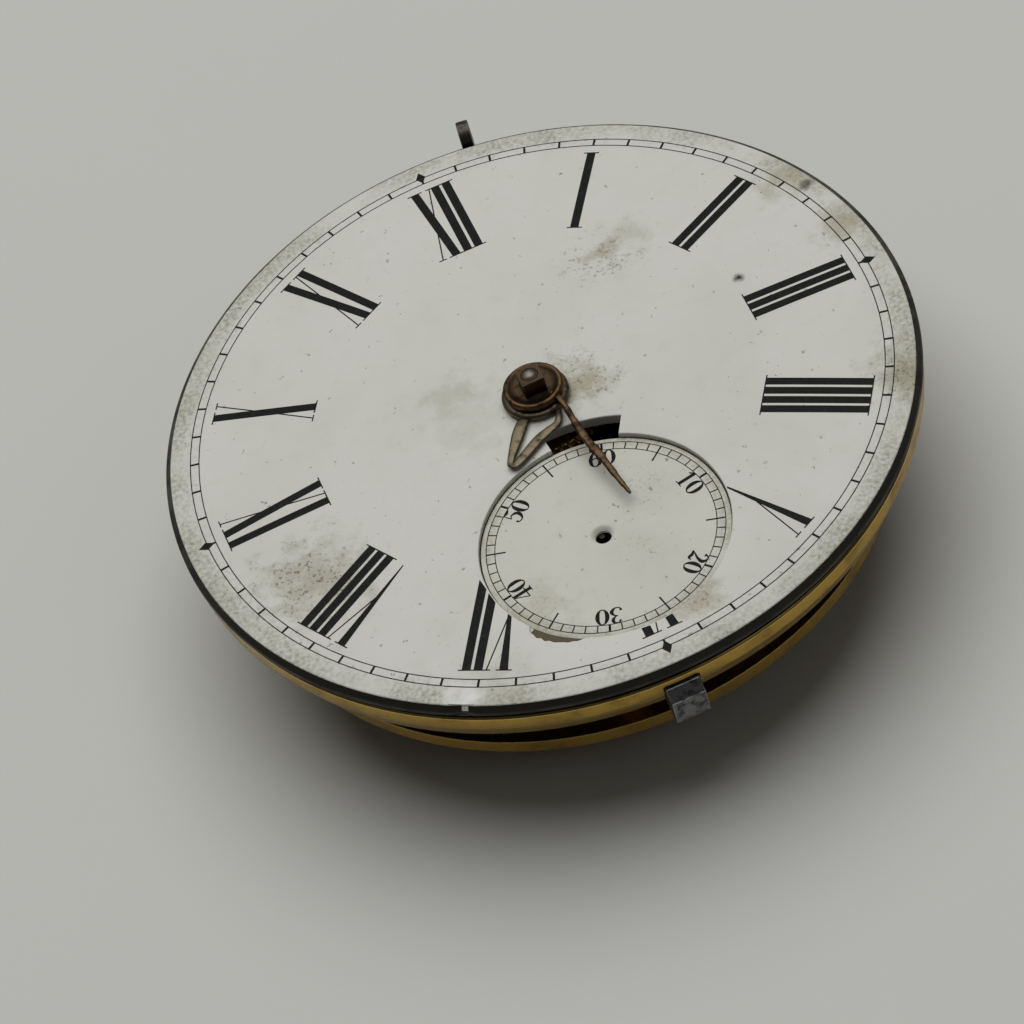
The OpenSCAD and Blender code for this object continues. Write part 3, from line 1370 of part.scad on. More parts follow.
minute_post_r = 0.4;
motion_wheel_h = 0.5;
cannon_z = edge_back_z + 2 * stack_gap;
hour_wheel_h = 0.4;
hour_wheel_z = cannon_z + motion_wheel_h + 1.4 * stack_gap;
pipe_wall = 0.35;
pipe_play = 0.05;
hour_bore_r = cannon_pipe_r + pipe_play;
hour_pipe_r = hour_bore_r + pipe_wall;
hour_hand_z = dial_z(0) + stack_gap;
hour_hand_h = 0.4;
hand_gap = 0.1;
minute_hand_z = hour_hand_z + hour_hand_h + hand_gap;
minute_hand_h = 0.42;

module cannon_pinion() {
    shoulder_z = minute_hand_z;
    color(steel) at(centre_at) difference() {
        union() {
            translate([0, 0, cannon_z]) rotate(space_to(cannon_leaves, heading(centre_at, minute_at)))
                pinion(cannon_leaves, cannon_module, motion_wheel_h);
            translate([0, 0, cannon_z + motion_wheel_h - cut])
                cylinder(r = cannon_pipe_r, h = shoulder_z - cannon_z - motion_wheel_h + cut);
            square_end(setting_square, shoulder_z, setting_square_z - shoulder_z);
        }
        translate([0, 0, cannon_z - cut])
            cylinder(r = centre_arbor_r + pivot_play, h = 2 * setting_square_z);
    }
}

module minute_post() {
    low_z = plate_in_z + centre_sink + pivot_play;
    color(steel) at(minute_at, low_z) cylinder(r = minute_post_r, h = hour_wheel_z + hour_wheel_h - low_z);
}

module minute_wheel() {
    leaf_h = hour_wheel_z + hour_wheel_h - cannon_z - motion_wheel_h;
    color(brass) at(minute_at, cannon_z) difference() {
        union() {
            rotate(heading(minute_at, centre_at))
                linear_extrude(motion_wheel_h)
                    polygon(teeth(minute_teeth, cannon_module, wheel_share, wheel_rise));
            translate([0, 0, motion_wheel_h]) rotate(space_to(minute_leaves, heading(minute_at, centre_at)))
                pinion(minute_leaves, hour_module, leaf_h);
        }
        translate([0, 0, -cut])
            cylinder(r = minute_post_r + pivot_play, h = 2 * hour_wheel_h + 2 * motion_wheel_h);
    }
}

module hour_wheel() {
    color(brass) at(centre_at, hour_wheel_z) difference() {
        union() {
            rotate(heading(centre_at, minute_at))
                linear_extrude(hour_wheel_h)
                    polygon(teeth(hour_teeth, hour_module, wheel_share, wheel_rise));
            cylinder(r = hour_pipe_r, h = hour_hand_z + hour_hand_h - hour_wheel_z);
        }
        translate([0, 0, -cut]) cylinder(r = hour_bore_r, h = 2 * setting_square_z);
    }
}

// Both hands are broken off short: the hour hand to a bent loop, the minute hand to a bent stump
hour_tip = [-3.02, -4.28];
hour_legs = [[[-0.9, -1.5], [-1.55, -2.35], [-2.3, -3.3], hour_tip],
    [hour_tip, [-1.9, -3.7], [-1.0, -3.05], [-0.1, -2.65], [0.45, -2.3], [0.75, -1.65]]];
hour_loop_w = 0.5;
hour_loop_h = 0.16;

module hour_hand() {
    color("peru") {
        at(centre_at, hour_hand_z) difference() {
            cylinder(r = hour_collet_r, h = hour_hand_h);
            translate([0, 0, -cut]) cylinder(r = hour_pipe_r + pin_play, h = hour_hand_h + 2 * cut);
        }
        translate([0, 0, hour_hand_z]) {
            for (leg = hour_legs) strip(leg, hour_loop_w, hour_loop_h);
            translate(hour_tip) cylinder(r = hour_loop_w / 2, h = hour_loop_h);
        }
    }
}

// Middle line of the stump: [x, y, height above the hand's seat, width]
minute_stump = [[0.55, -0.95, 0.12, 0.5], [0.78, -1.5, 0.12, 0.52], [0.99, -2.39, 0.09, 0.55],
    [1.18, -3.72, 0.04, 0.56], [1.38, -5.15, -0.04, 0.52], [1.59, -6.5, -0.16, 0.4],
    [2.07, -9.6, -0.4, 0.3]];
stump_t = 0.3;

module minute_hand() {
    hole_w = setting_square + 2 * pin_play;
    color("sienna") at(centre_at, minute_hand_z) {
        difference() {
            cylinder(r = minute_collet_r, h = minute_hand_h);
            translate([-hole_w / 2, -hole_w / 2, -cut]) cube([hole_w, hole_w, minute_hand_h + 2 * cut]);
        }
        stump();
    }
}

// The stump as a band of four corners along its middle line
module stump() {
    n = len(minute_stump);
    band([for (i = [0:n - 1]) let (p = minute_stump[i], a = minute_stump[max(i - 1, 0)],
        b = minute_stump[min(i + 1, n - 1)], side = polar(p[3] / 2, heading(a, b) + 90))
        [for (k = [[-1, -1], [1, -1], [1, 1], [-1, 1]])
            [p[0] + k[0] * side[0], p[1] + k[0] * side[1], p[2] + k[1] * stump_t / 2]]]);
}

dial();
seconds_dial();
brass_edge();
pillar_plate();
top_plate();
pillars();
pillar_pins();
dial_pins();
front_screws();
joint();
bolt();
bolt_spring();
barrel_bar();
back_screws();
balance_cock();
potence();
jewels();
endstone_cap();
endstone_screws();
barrel();
barrel_cover();
barrel_arbor();
mainspring();
setup_ratchet();
setup_click();
chain_coils();
chain_run();
fusee();
great_wheel();
maintaining_ratchet();
maintaining_detent();
fusee_stop_arm();
centre_wheel();
centre_arbor();
third_wheel();
third_arbor();
fourth_wheel();
fourth_arbor();
escape_wheel();
escape_arbor();
lever();
pallets();
pallet_stones();
pallet_arbor();
banking_pins();
roller();
impulse_pin();
balance_staff();
balance_wheel();
balance_spring();
spring_stud();
regulator();
cannon_pinion();
minute_post();
minute_wheel();
hour_wheel();
hour_hand();
minute_hand();
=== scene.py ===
"""Finished look of a key-wound pocket watch movement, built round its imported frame.

The dial, its print, the hands and the fusee chain are modelled here in millimetres and take
the place of their plain nodes. Every other node is copied, bevelled and given a worn finish.
"""
import json
import logging
import math
from dataclasses import dataclass, field
from enum import Enum, IntEnum
from typing import Callable, Optional, Sequence

import bmesh
import bpy
from mathutils import Matrix, Vector
from mathutils.geometry import delaunay_2d_cdt

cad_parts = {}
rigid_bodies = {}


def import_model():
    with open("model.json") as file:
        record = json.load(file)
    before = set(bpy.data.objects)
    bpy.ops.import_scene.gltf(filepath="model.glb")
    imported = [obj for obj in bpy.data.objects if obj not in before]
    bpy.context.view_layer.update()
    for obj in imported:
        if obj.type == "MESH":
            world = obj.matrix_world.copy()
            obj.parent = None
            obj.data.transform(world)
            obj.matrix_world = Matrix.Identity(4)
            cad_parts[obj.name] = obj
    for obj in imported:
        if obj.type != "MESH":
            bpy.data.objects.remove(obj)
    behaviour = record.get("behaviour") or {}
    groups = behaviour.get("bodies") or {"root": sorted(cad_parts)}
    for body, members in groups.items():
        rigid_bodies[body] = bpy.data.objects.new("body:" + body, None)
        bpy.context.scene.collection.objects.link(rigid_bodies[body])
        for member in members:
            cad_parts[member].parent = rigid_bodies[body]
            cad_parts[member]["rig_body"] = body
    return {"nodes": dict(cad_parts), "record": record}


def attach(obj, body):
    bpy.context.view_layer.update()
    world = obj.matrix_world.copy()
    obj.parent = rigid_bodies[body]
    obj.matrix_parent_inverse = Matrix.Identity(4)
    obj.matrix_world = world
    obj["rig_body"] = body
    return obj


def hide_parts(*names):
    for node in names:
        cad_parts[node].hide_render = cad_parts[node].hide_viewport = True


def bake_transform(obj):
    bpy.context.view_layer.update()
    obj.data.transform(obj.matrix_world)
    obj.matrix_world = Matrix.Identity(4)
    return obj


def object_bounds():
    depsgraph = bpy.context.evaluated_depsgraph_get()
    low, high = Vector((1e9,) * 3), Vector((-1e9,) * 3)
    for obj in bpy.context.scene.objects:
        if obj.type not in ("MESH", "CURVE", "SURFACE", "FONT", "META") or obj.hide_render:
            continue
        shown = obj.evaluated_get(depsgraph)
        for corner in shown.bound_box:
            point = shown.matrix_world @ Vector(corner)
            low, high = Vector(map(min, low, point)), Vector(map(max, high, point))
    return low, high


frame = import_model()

LOG = logging.getLogger("movement")
MM = 0.001
CAD_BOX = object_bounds()

Point = tuple[float, float]
Point3 = tuple[float, float, float]
Colour = tuple[float, float, float]
Height = Callable[[float, float], float]
Socket = bpy.types.NodeSocket


def polar(r: float, degrees: float, about: Point = (0.0, 0.0)) -> Point:
    """The point at a distance and an anticlockwise angle from another."""
    a = math.radians(degrees)
    return about[0] + r * math.cos(a), about[1] + r * math.sin(a)


def lerp(a: float, b: float, t: float) -> float:
    """The value a share t of the way from a to b."""
    return a + (b - a) * t


def spaced(first: float, last: float, count: int) -> list[float]:
    """Evenly spaced values from first to last, one more than the steps."""
    return [lerp(first, last, i / count) for i in range(count + 1)]


def circle(r: float, count: int, about: Point = (0.0, 0.0)) -> list[Point]:
    """Points round a circle."""
    return [polar(r, a, about) for a in spaced(0, 360, count)[:-1]]


def clock_point(u: float, v: float, angle: float, about: Point = (0.0, 0.0)) -> Point:
    """The point at a clockwise angle from XII, u along the tangent and v from the middle."""
    s, c = math.sin(math.radians(angle)), math.cos(math.radians(angle))
    return s * v + c * u + about[0], c * v - s * u + about[1]


def cubic(a: float, b: float, c: float, d: float, t: float) -> float:
    """The value a share t of the way from b to c, on a smooth curve past a and d."""
    return 0.5 * (2 * b + (c - a) * t + (2 * a - 5 * b + 4 * c - d) * t ** 2
                  + (3 * b - a - 3 * c + d) * t ** 3)


def smooth_line(points: Sequence[Sequence[float]], steps: int) -> list[tuple[float, ...]]:
    """A smooth line through points, by cubic pieces that pass through each of them.

    Args:
        points: Points of any number of values.
        steps: Pieces between one point and the next.

    Returns:
        The points of the smooth line.
    """
    out = []
    last = len(points) - 1
    for i in range(last):
        near = points[max(i - 1, 0)], points[i], points[i + 1], points[min(i + 2, last)]
        for t in spaced(0, 1, steps)[:-1]:
            out.append(tuple(cubic(*values, t) for values in zip(*near)))
    return [*out, tuple(points[last])]


def inside(point: Vector, outline: Sequence[Point]) -> bool:
    """Whether a point lies inside a closed outline.

    Args:
        point: The point.
        outline: The outline.

    Returns:
        True inside it.
    """
    crossings = 0
    for (ax, ay), (bx, by) in zip(outline, [*outline[1:], outline[0]]):
        if (ay > point.y) != (by > point.y):
            crossings += point.x < ax + (point.y - ay) / (by - ay) * (bx - ax)
    return crossings % 2 == 1


# Shader node groups and finishes

NOISE_ROUGHNESS = 0.6
MIX_INPUTS = (0, 6, 7)  # share, first colour and second colour of a Mix node for colours
MIX_RESULT = 2


@dataclass
class Graph:
    """Short forms for adding and joining the nodes of a tree."""

    tree: bpy.types.NodeTree

    def join(self, target: Socket, value: object) -> None:
        """Links a socket to an input, or sets the input to a plain value.

        Args:
            target: The input.
            value: A socket, or a value of the input's kind.
        """
        if isinstance(value, Socket):
            self.tree.links.new(value, target)
        else:
            target.default_value = value

    def node(self, kind: str, inputs: Optional[dict] = None, **settings: object) -> bpy.types.Node:
        """Adds a node.

        Args:
            kind: The node's type name.
            inputs: Values or sockets for its inputs, by name or number.
            settings: Values for the node's own properties.

        Returns:
            The new node.
        """
        made = self.tree.nodes.new(kind)
        for key, value in settings.items():
            setattr(made, key, value)
        for key, value in (inputs or {}).items():
            self.join(made.inputs[key], value)
        return made

    def math(self, operation: str, *values: object) -> Socket:
        """Adds a Math node on numbers or sockets and gives its output."""
        return self.node("ShaderNodeMath", dict(enumerate(values)), operation=operation).outputs[0]

    def vector(self, operation: str, *values: object) -> Socket:
        """Adds a Vector Math node and gives its vector."""
        made = self.node("ShaderNodeVectorMath", dict(enumerate(values)), operation=operation)
        return made.outputs[0]

    def ramp(self, value: Socket, low: object, high: object) -> Socket:
        """Maps a value smoothly to 0 at low and 1 at high."""
        ends = {"Value": value, "From Min": low, "From Max": high}
        return self.node("ShaderNodeMapRange", ends, interpolation_type="SMOOTHSTEP").outputs[0]

    def blend(self, share: Socket, first: object, second: object) -> Socket:
        """Mixes two colours.

        Args:
            share: Share of the second.
            first: Colour or socket.
            second: Colour or socket.

        Returns:
            The mixed colour.
        """
        made = self.node("ShaderNodeMix", data_type="RGBA")
        for index, value in zip(MIX_INPUTS, (share, first, second)):
            self.join(made.inputs[index], (*value, 1.0) if isinstance(value, tuple) else value)
        return made.outputs[MIX_RESULT]

    def layer(self, share: Socket, strength: float, under: object, over: Colour) -> Socket:
        """Lays a colour over another where a mask is, at part strength."""
        return self.blend(self.math("MULTIPLY", share, strength), under, over)

    def noise(self, place: Socket, scale: object, detail: float) -> Socket:
        """Adds a noise about 0.5, with its size per millimetre and its finer layers."""
        inputs = {"Vector": place, "Scale": scale, "Detail": detail, "Roughness": NOISE_ROUGHNESS}
        return self.node("ShaderNodeTexNoise", inputs).outputs["Fac"]

    def place(self) -> Socket:
        """The place on the object, in millimetres."""
        inputs = {0: self.node("ShaderNodeTexCoord").outputs["Object"], "Scale": 1 / MM}
        return self.node("ShaderNodeVectorMath", inputs, operation="SCALE").outputs[0]

    def reach(self, place: Socket, centre: Socket) -> Socket:
        """The distance of a place from a centre, along the dial."""
        flat = self.vector("MULTIPLY", self.vector("SUBTRACT", place, centre), (1.0, 1.0, 0.0))
        return self.node("ShaderNodeVectorMath", {0: flat}, operation="LENGTH").outputs["Value"]

    def bump(self, height: Socket, strength: float, depth: float) -> Socket:
        """A normal that is bent by a height, with its depth in millimetres."""
        inputs = {"Height": height, "Strength": strength, "Distance": depth * MM}
        return self.node("ShaderNodeBump", inputs).outputs[0]


Given = dict[str, Socket]
Drawing = Callable[[Graph, Given], Socket]


def shader_group(name: str, inputs: dict[str, object], draw: Drawing) -> bpy.types.NodeTree:
    """Makes a shader node group with one output called Mask, once.

    Args:
        name: Name of the group.
        inputs: Names of the inputs with their first values, numbers or points.
        draw: Draws the nodes from a dictionary of the input sockets.

    Returns:
        The group's tree.
    """
    tree = bpy.data.node_groups.get(name)
    if tree:
        return tree
    tree = bpy.data.node_groups.new(name, "ShaderNodeTree")
    for key, value in inputs.items():
        kind = "NodeSocketVector" if isinstance(value, tuple) else "NodeSocketFloat"
        socket = tree.interface.new_socket(name=key, in_out="INPUT", socket_type=kind)
        socket.default_value = value
    tree.interface.new_socket(name="Mask", in_out="OUTPUT", socket_type="NodeSocketFloat")
    graph = Graph(tree)
    source = graph.node("NodeGroupInput")
    result = draw(graph, {key: source.outputs[key] for key in inputs})
    graph.node("NodeGroupOutput", {"Mask": result})
    return tree


BLOTCH_DETAIL = 6.0
SCRATCH_DETAIL = 3.0


def draw_blotch(graph: Graph, given: Given) -> Socket:
    """Patches of tarnish or dirt, all over, from Scale, Cover and Soft."""
    patchy = graph.noise(graph.place(), given["Scale"], BLOTCH_DETAIL)
    return graph.ramp(patchy, given["Cover"], graph.math("ADD", given["Cover"], given["Soft"]))


STAIN_EDGE_SCALE, STAIN_EDGE_SPREAD = 0.8, 2.4
SPECKLE_SCALE, SPECKLE_LEVELS = 4.6, (0.53, 0.66)
STAIN_DETAIL = 5.0


def draw_stain(graph: Graph, given: Given) -> Socket:
    """One ragged, speckled stain about a point of the dial.

    Args:
        graph: The group's graph.
        given: Inputs Centre, Radius and Speckle.

    Returns:
        The mask.
    """
    place = graph.place()
    far = graph.reach(place, given["Centre"])
    uneven = graph.math("SUBTRACT", graph.noise(place, STAIN_EDGE_SCALE, STAIN_DETAIL), 0.5)
    ragged = graph.math("MULTIPLY", uneven, given["Radius"])
    edge = graph.math("ADD", far, graph.math("MULTIPLY", ragged, STAIN_EDGE_SPREAD))
    speck = graph.ramp(graph.noise(place, SPECKLE_SCALE, STAIN_DETAIL), *SPECKLE_LEVELS)
    broken = graph.math("ADD", graph.math("MULTIPLY", speck, given["Speckle"]),
                        graph.math("SUBTRACT", 1.0, given["Speckle"]))
    return graph.math("MULTIPLY", graph.ramp(edge, given["Radius"], 0.0), broken)


RIM_SPOT_SCALE, RIM_SPOT_DETAIL, RIM_SPOT_SOFT = 4.0, 8.0, 0.2
RIM_PATCH_SCALE, RIM_PATCH_DETAIL, RIM_PATCH_LEVELS = 0.22, 3.0, (0.28, 0.62)


def draw_rim(graph: Graph, given: Given) -> Socket:
    """Dirt that gathers between two distances from a centre.

    Args:
        graph: The group's graph.
        given: Inputs Centre, Inner, Outer and Cover.

    Returns:
        The mask.
    """
    place = graph.place()
    near = graph.ramp(graph.reach(place, given["Centre"]), given["Inner"], given["Outer"])
    spots = graph.ramp(graph.noise(place, RIM_SPOT_SCALE, RIM_SPOT_DETAIL), given["Cover"],
                       graph.math("ADD", given["Cover"], RIM_SPOT_SOFT))
    patches = graph.ramp(graph.noise(place, RIM_PATCH_SCALE, RIM_PATCH_DETAIL), *RIM_PATCH_LEVELS)
    return graph.math("MULTIPLY", near, graph.math("MULTIPLY", spots, patches))


def draw_scratch(graph: Graph, given: Given) -> Socket:
    """Fine straight scratches along one way.

    Args:
        graph: The group's graph.
        given: Inputs Fineness and Length.

    Returns:
        The mask.
    """
    fine = given["Fineness"]
    ratio = graph.node("ShaderNodeCombineXYZ", {"X": fine, "Y": given["Length"], "Z": fine})
    stretched = graph.vector("MULTIPLY", graph.place(), ratio.outputs[0])
    return graph.noise(stretched, 1.0, SCRATCH_DETAIL)


MIDDLE = (0.0, 0.0, 0.0)
GROUPS: dict[str, tuple[dict[str, object], Drawing]] = {
    "blotch": ({"Scale": 1.0, "Cover": 0.55, "Soft": 0.15}, draw_blotch),
    "stain": ({"Centre": MIDDLE, "Radius": 2.0, "Speckle": 0.8}, draw_stain),
    "rim_dirt": ({"Centre": MIDDLE, "Inner": 17.0, "Outer": 21.0, "Cover": 0.5}, draw_rim),
    "scratch": ({"Fineness": 12.0, "Length": 0.6}, draw_scratch),
}


def mask(graph: Graph, group: str, **inputs: object) -> Socket:
    """Adds one of the shared groups to a material and gives its mask."""
    tree = shader_group(group, *GROUPS[group])
    return graph.node("ShaderNodeGroup", inputs, node_tree=tree).outputs["Mask"]


@dataclass(frozen=True)
class Patches:
    """Patches all over: their size per millimetre, the level where they start, their softness."""

    scale: float
    cover: float
    soft: float

    def mask(self, graph: Graph) -> Socket:
        """Adds the patches to a material."""
        return mask(graph, "blotch", Scale=self.scale, Cover=self.cover, Soft=self.soft)


@dataclass(frozen=True)
class Stain:
    """A patch on the enamel, mostly a stain and once a painted glint: where it is, how far it
    spreads, its colour and its strength.
    """

    centre: Point
    radius: float
    colour: Colour
    strength: float
    speckle: float = 0.95

    def mask(self, graph: Graph) -> Socket:
        """Adds the stain to a material."""
        centre = (*self.centre, 0.0)
        return mask(graph, "stain", Centre=centre, Radius=self.radius, Speckle=self.speckle)


class Coating:
    """A finish that is painted with a Principled shader."""

    def paint(self, graph: Graph) -> dict[str, object]:
        """Draws the nodes, and gives sockets or values for the shader's inputs."""
        raise NotImplementedError

    def build(self, name: str) -> bpy.types.Material:
        """Builds the material.

        Args:
            name: Its name.

        Returns:
            The material.
        """
        material = bpy.data.materials.new(name)
        material.use_nodes = True
        graph = Graph(material.node_tree)
        shader = next(n for n in material.node_tree.nodes if n.type == "BSDF_PRINCIPLED")
        for key, value in self.paint(graph).items():
            graph.join(shader.inputs[key], value)
        return material


@dataclass(frozen=True)
class Metal(Coating):
    """A worn metal: a clean colour, a tarnish over it in patches, and dirt in specks."""

    clean: Colour
    tarnish: Colour
    dirt: Colour = (0.035, 0.028, 0.018)
    tarnish_scale: float = 0.5
    tarnish_cover: float = 0.5
    tarnish_soft: float = 0.22
    dirt_scale: float = 2.6
    dirt_cover: float = 0.62
    dirt_soft: float = 0.1
    dirt_height: float = 0.8
    rough: Point = (0.25, 0.5)
    scratch_share: float = 0.35
    grain: float = 0.12
    grain_depth: float = 0.02
    fineness: float = 14.0
    scratch_length: float = 0.5
    metallic: float = 1.0
    worn_spot: Optional[tuple[float, Colour]] = None
    spot_speckle: float = 0.1

    def paint(self, graph: Graph) -> dict[str, object]:
        """Draws tarnish, dirt, fine scratches and, where there is one, a worn spot.

        Args:
            graph: The material's graph.

        Returns:
            The shader's inputs.
        """
        patches = Patches(self.tarnish_scale, self.tarnish_cover, self.tarnish_soft).mask(graph)
        specks = Patches(self.dirt_scale, self.dirt_cover, self.dirt_soft).mask(graph)
        scratches = mask(graph, "scratch", Fineness=self.fineness, Length=self.scratch_length)
        colour = graph.blend(specks, graph.blend(patches, self.clean, self.tarnish), self.dirt)
        if self.worn_spot:
            radius, bare = self.worn_spot
            spot = mask(graph, "stain", Radius=radius, Speckle=self.spot_speckle)
            colour = graph.blend(spot, colour, bare)
        uneven = graph.math("MULTIPLY_ADD", scratches, self.scratch_share,
                            graph.math("MULTIPLY", patches, 1 - self.scratch_share))
        low, high = self.rough
        height = graph.math("ADD", scratches, graph.math("MULTIPLY", specks, self.dirt_height))
        return {"Base Color": colour, "Metallic": self.metallic,
                "Roughness": graph.math("MULTIPLY_ADD", uneven, high - low, low),
                "Normal": graph.bump(height, self.grain, self.grain_depth)}


@dataclass(frozen=True)
class Enamel(Coating):
    """White enamel with a yellowed body, specks, stains and dirt near its rim."""

    white: Colour
    yellowed: Colour
    stains: tuple[Stain, ...] = ()
    rim_centre: Point = (0.0, 0.0)
    rim: Point = (18.6, 20.6)
    rim_colour: Colour = (0.14, 0.125, 0.072)
    rim_cover: float = 0.47
    rim_strength: float = 0.45
    film_colour: Colour = (0.38, 0.365, 0.26)
    film_start: float = 0.45
    film_cover: float = 0.3
    film_strength: float = 0.5
    cloud: Patches = Patches(0.14, 0.36, 0.34)
    cloud_strength: float = 0.6
    haze: Patches = Patches(1.1, 0.5, 0.3)
    haze_colour: Colour = (0.36, 0.32, 0.22)
    haze_strength: float = 0.07
    specks: Patches = Patches(2.1, 0.655, 0.05)
    speck_colour: Colour = (0.10, 0.08, 0.045)
    speck_strength: float = 0.55
    rough: float = 0.42
    rough_dirt: float = 0.2
    ripple_scale: float = 0.7
    ripple_detail: float = 2.0
    ripple: float = 0.08
    ripple_depth: float = 0.04
    dirt_height: float = 0.6
    gloss: float = 0.3

    def paint(self, graph: Graph) -> dict[str, object]:
        """Draws the body, then the rim's film and dirt, the stains with any painted glint, and the
        specks over it.

        Args:
            graph: The material's graph.

        Returns:
            The shader's inputs.
        """
        cloud = self.cloud.mask(graph)
        colour = graph.layer(cloud, self.cloud_strength, self.white, self.yellowed)
        colour = graph.layer(self.haze.mask(graph), self.haze_strength, colour, self.haze_colour)
        centre, (inner, outer) = (*self.rim_centre, 0.0), self.rim
        film = mask(graph, "rim_dirt", Centre=centre, Inner=lerp(inner, outer, self.film_start),
                    Outer=outer, Cover=self.film_cover)
        dirt = mask(graph, "rim_dirt", Centre=centre, Inner=inner, Outer=outer,
                    Cover=self.rim_cover)
        colour = graph.layer(film, self.film_strength, colour, self.film_colour)
        colour = graph.layer(dirt, self.rim_strength, colour, self.rim_colour)
        # stains, and on the main dial a painted glint at the edge's chip
        for stain in self.stains:
            colour = graph.layer(stain.mask(graph), stain.strength, colour, stain.colour)
        colour = graph.layer(self.specks.mask(graph), self.speck_strength, colour,
                             self.speck_colour)
        dull = graph.math("MAXIMUM", dirt, cloud)
        ripple = graph.noise(graph.place(), self.ripple_scale, self.ripple_detail)
        height = graph.math("MULTIPLY_ADD", dirt, self.dirt_height, ripple)
        return {"Base Color": colour, "Specular IOR Level": self.gloss,
                "Roughness": graph.math("MULTIPLY_ADD", dull, self.rough_dirt, self.rough),
                "Normal": graph.bump(height, self.ripple, self.ripple_depth)}


@dataclass(frozen=True)
class Ink(Coating):
    """Fired black print, thin and greyed in places."""

    black: Colour
    faded: Colour
    cover: float = 0.56
    thin_scale: float = 1.6
    thin_soft: float = 0.2
    fineness: float = 5.0
    streak_length: float = 2.0
    streak_share: float = 0.8
    rough: float = 0.45
    rough_streak: float = 0.3
    gloss: float = 0.15

    def paint(self, graph: Graph) -> dict[str, object]:
        """Draws the thin places, broken up into streaks.

        Args:
            graph: The material's graph.

        Returns:
            The shader's inputs.
        """
        thin = Patches(self.thin_scale, self.cover, self.thin_soft).mask(graph)
        streak = mask(graph, "scratch", Fineness=self.fineness, Length=self.streak_length)
        broken = graph.math("MULTIPLY_ADD", streak, self.streak_share, 1 - self.streak_share)
        share = graph.math("MULTIPLY", thin, broken)
        return {"Base Color": graph.blend(share, self.black, self.faded),
                "Roughness": graph.math("MULTIPLY_ADD", streak, self.rough_streak, self.rough),
                "Specular IOR Level": self.gloss}


@dataclass(frozen=True)
class Jewel(Coating):
    """A clear red stone with cloudy streaks."""

    body: Colour
    pale: Colour
    cloud: Patches = Patches(1.3, 0.4, 0.3)
    rough: float = 0.04
    rough_cloud: float = 0.08
    coat: float = 1.0
    refraction: float = 1.76

    def paint(self, graph: Graph) -> dict[str, object]:
        """Draws the cloudy body under a clear coat.

        Args:
            graph: The material's graph.

        Returns:
            The shader's inputs.
        """
        cloud = self.cloud.mask(graph)
        return {"Base Color": graph.blend(cloud, self.body, self.pale),
                "Roughness": graph.math("MULTIPLY_ADD", cloud, self.rough_cloud, self.rough),
                "Coat Weight": self.coat, "IOR": self.refraction}


@dataclass(frozen=True)
class Paper(Coating):
    """The pale, plain floor."""

    pale: Colour
    shade: Colour
    cloud: Patches = Patches(0.02, 0.3, 0.4)
    cloud_strength: float = 0.6
    tooth: Patches = Patches(1.1, 0.3, 0.4)
    tooth_strength: float = 0.05
    tooth_depth: float = 0.02
    rough: float = 0.75

    def paint(self, graph: Graph) -> dict[str, object]:
        """Draws faint clouds and the paper's tooth.

        Args:
            graph: The material's graph.

        Returns:
            The shader's inputs.
        """
        cloud = self.cloud.mask(graph)
        tooth = self.tooth.mask(graph)
        return {"Base Color": graph.layer(cloud, self.cloud_strength, self.pale, self.shade),
                "Normal": graph.bump(tooth, self.tooth_strength, self.tooth_depth),
                "Roughness": self.rough}


DIRT = (0.125, 0.11, 0.06)
BROWN = (0.31, 0.255, 0.12)
OLIVE = (0.40, 0.365, 0.22)
SECONDS_AT: Point = (-0.17, -11.06)
MAIN_STAINS_AND_GLINT = (
    Stain((2.3, -0.2), 2.6, OLIVE, 0.75, 0.2),
    Stain((2.5, 0.1), 3.2, DIRT, 0.7),
    Stain((1.9, -0.9), 1.5, BROWN, 0.6, 0.4),
    Stain((-4.0, 2.8), 2.0, OLIVE, 0.3, 0.2),
    Stain((-3.4, 0.6), 4.0, OLIVE, 0.28, 0.3),
    Stain((7.1, 8.4), 1.3, BROWN, 0.8, 0.3),
    Stain((9.0, 8.9), 2.0, OLIVE, 0.4, 0.2),
    Stain((6.8, 8.0), 3.0, DIRT, 0.6),
    Stain((-15.3, -5.9), 4.4, OLIVE, 0.65, 0.2),
    Stain((-15.4, -5.6), 4.2, DIRT, 0.9),
    Stain((18.4, -8.4), 2.6, OLIVE, 0.8, 0.3),
    Stain((18.5, -8.6), 2.8, DIRT, 0.8, 0.8),
    Stain((19.8, 3.2), 2.6, BROWN, 0.75, 0.4),
    Stain((18.3, 8.3), 2.4, OLIVE, 0.8, 0.3),
    Stain((19.2, 7.3), 0.6, (0.04, 0.03, 0.02), 0.95, 0.2),
    Stain((13.05, 2.45), 0.45, (0.02, 0.014, 0.01), 1.0, 0.0),
    Stain((2.6, -18.1), 1.6, (0.30, 0.10, 0.05), 0.35),
    Stain((2.4, -17.4), 2.6, BROWN, 0.8, 0.4),
    Stain((-9.0, -17.6), 3.4, OLIVE, 0.5, 0.5),
    # Not a stain: a white patch at the edge's chip, brighter than the enamel, a painted glint.
    Stain((-10.9, -17.7), 1.9, (0.92, 0.92, 0.9), 1.0, 0.0),
)
SECONDS_STAINS = (
    Stain((-5.4, -14.0), 3.0, BROWN, 0.5, 0.5),
    Stain((3.0, -9.0), 2.4, DIRT, 0.35),
    Stain((1.2, -12.6), 2.0, BROWN, 0.25),
)


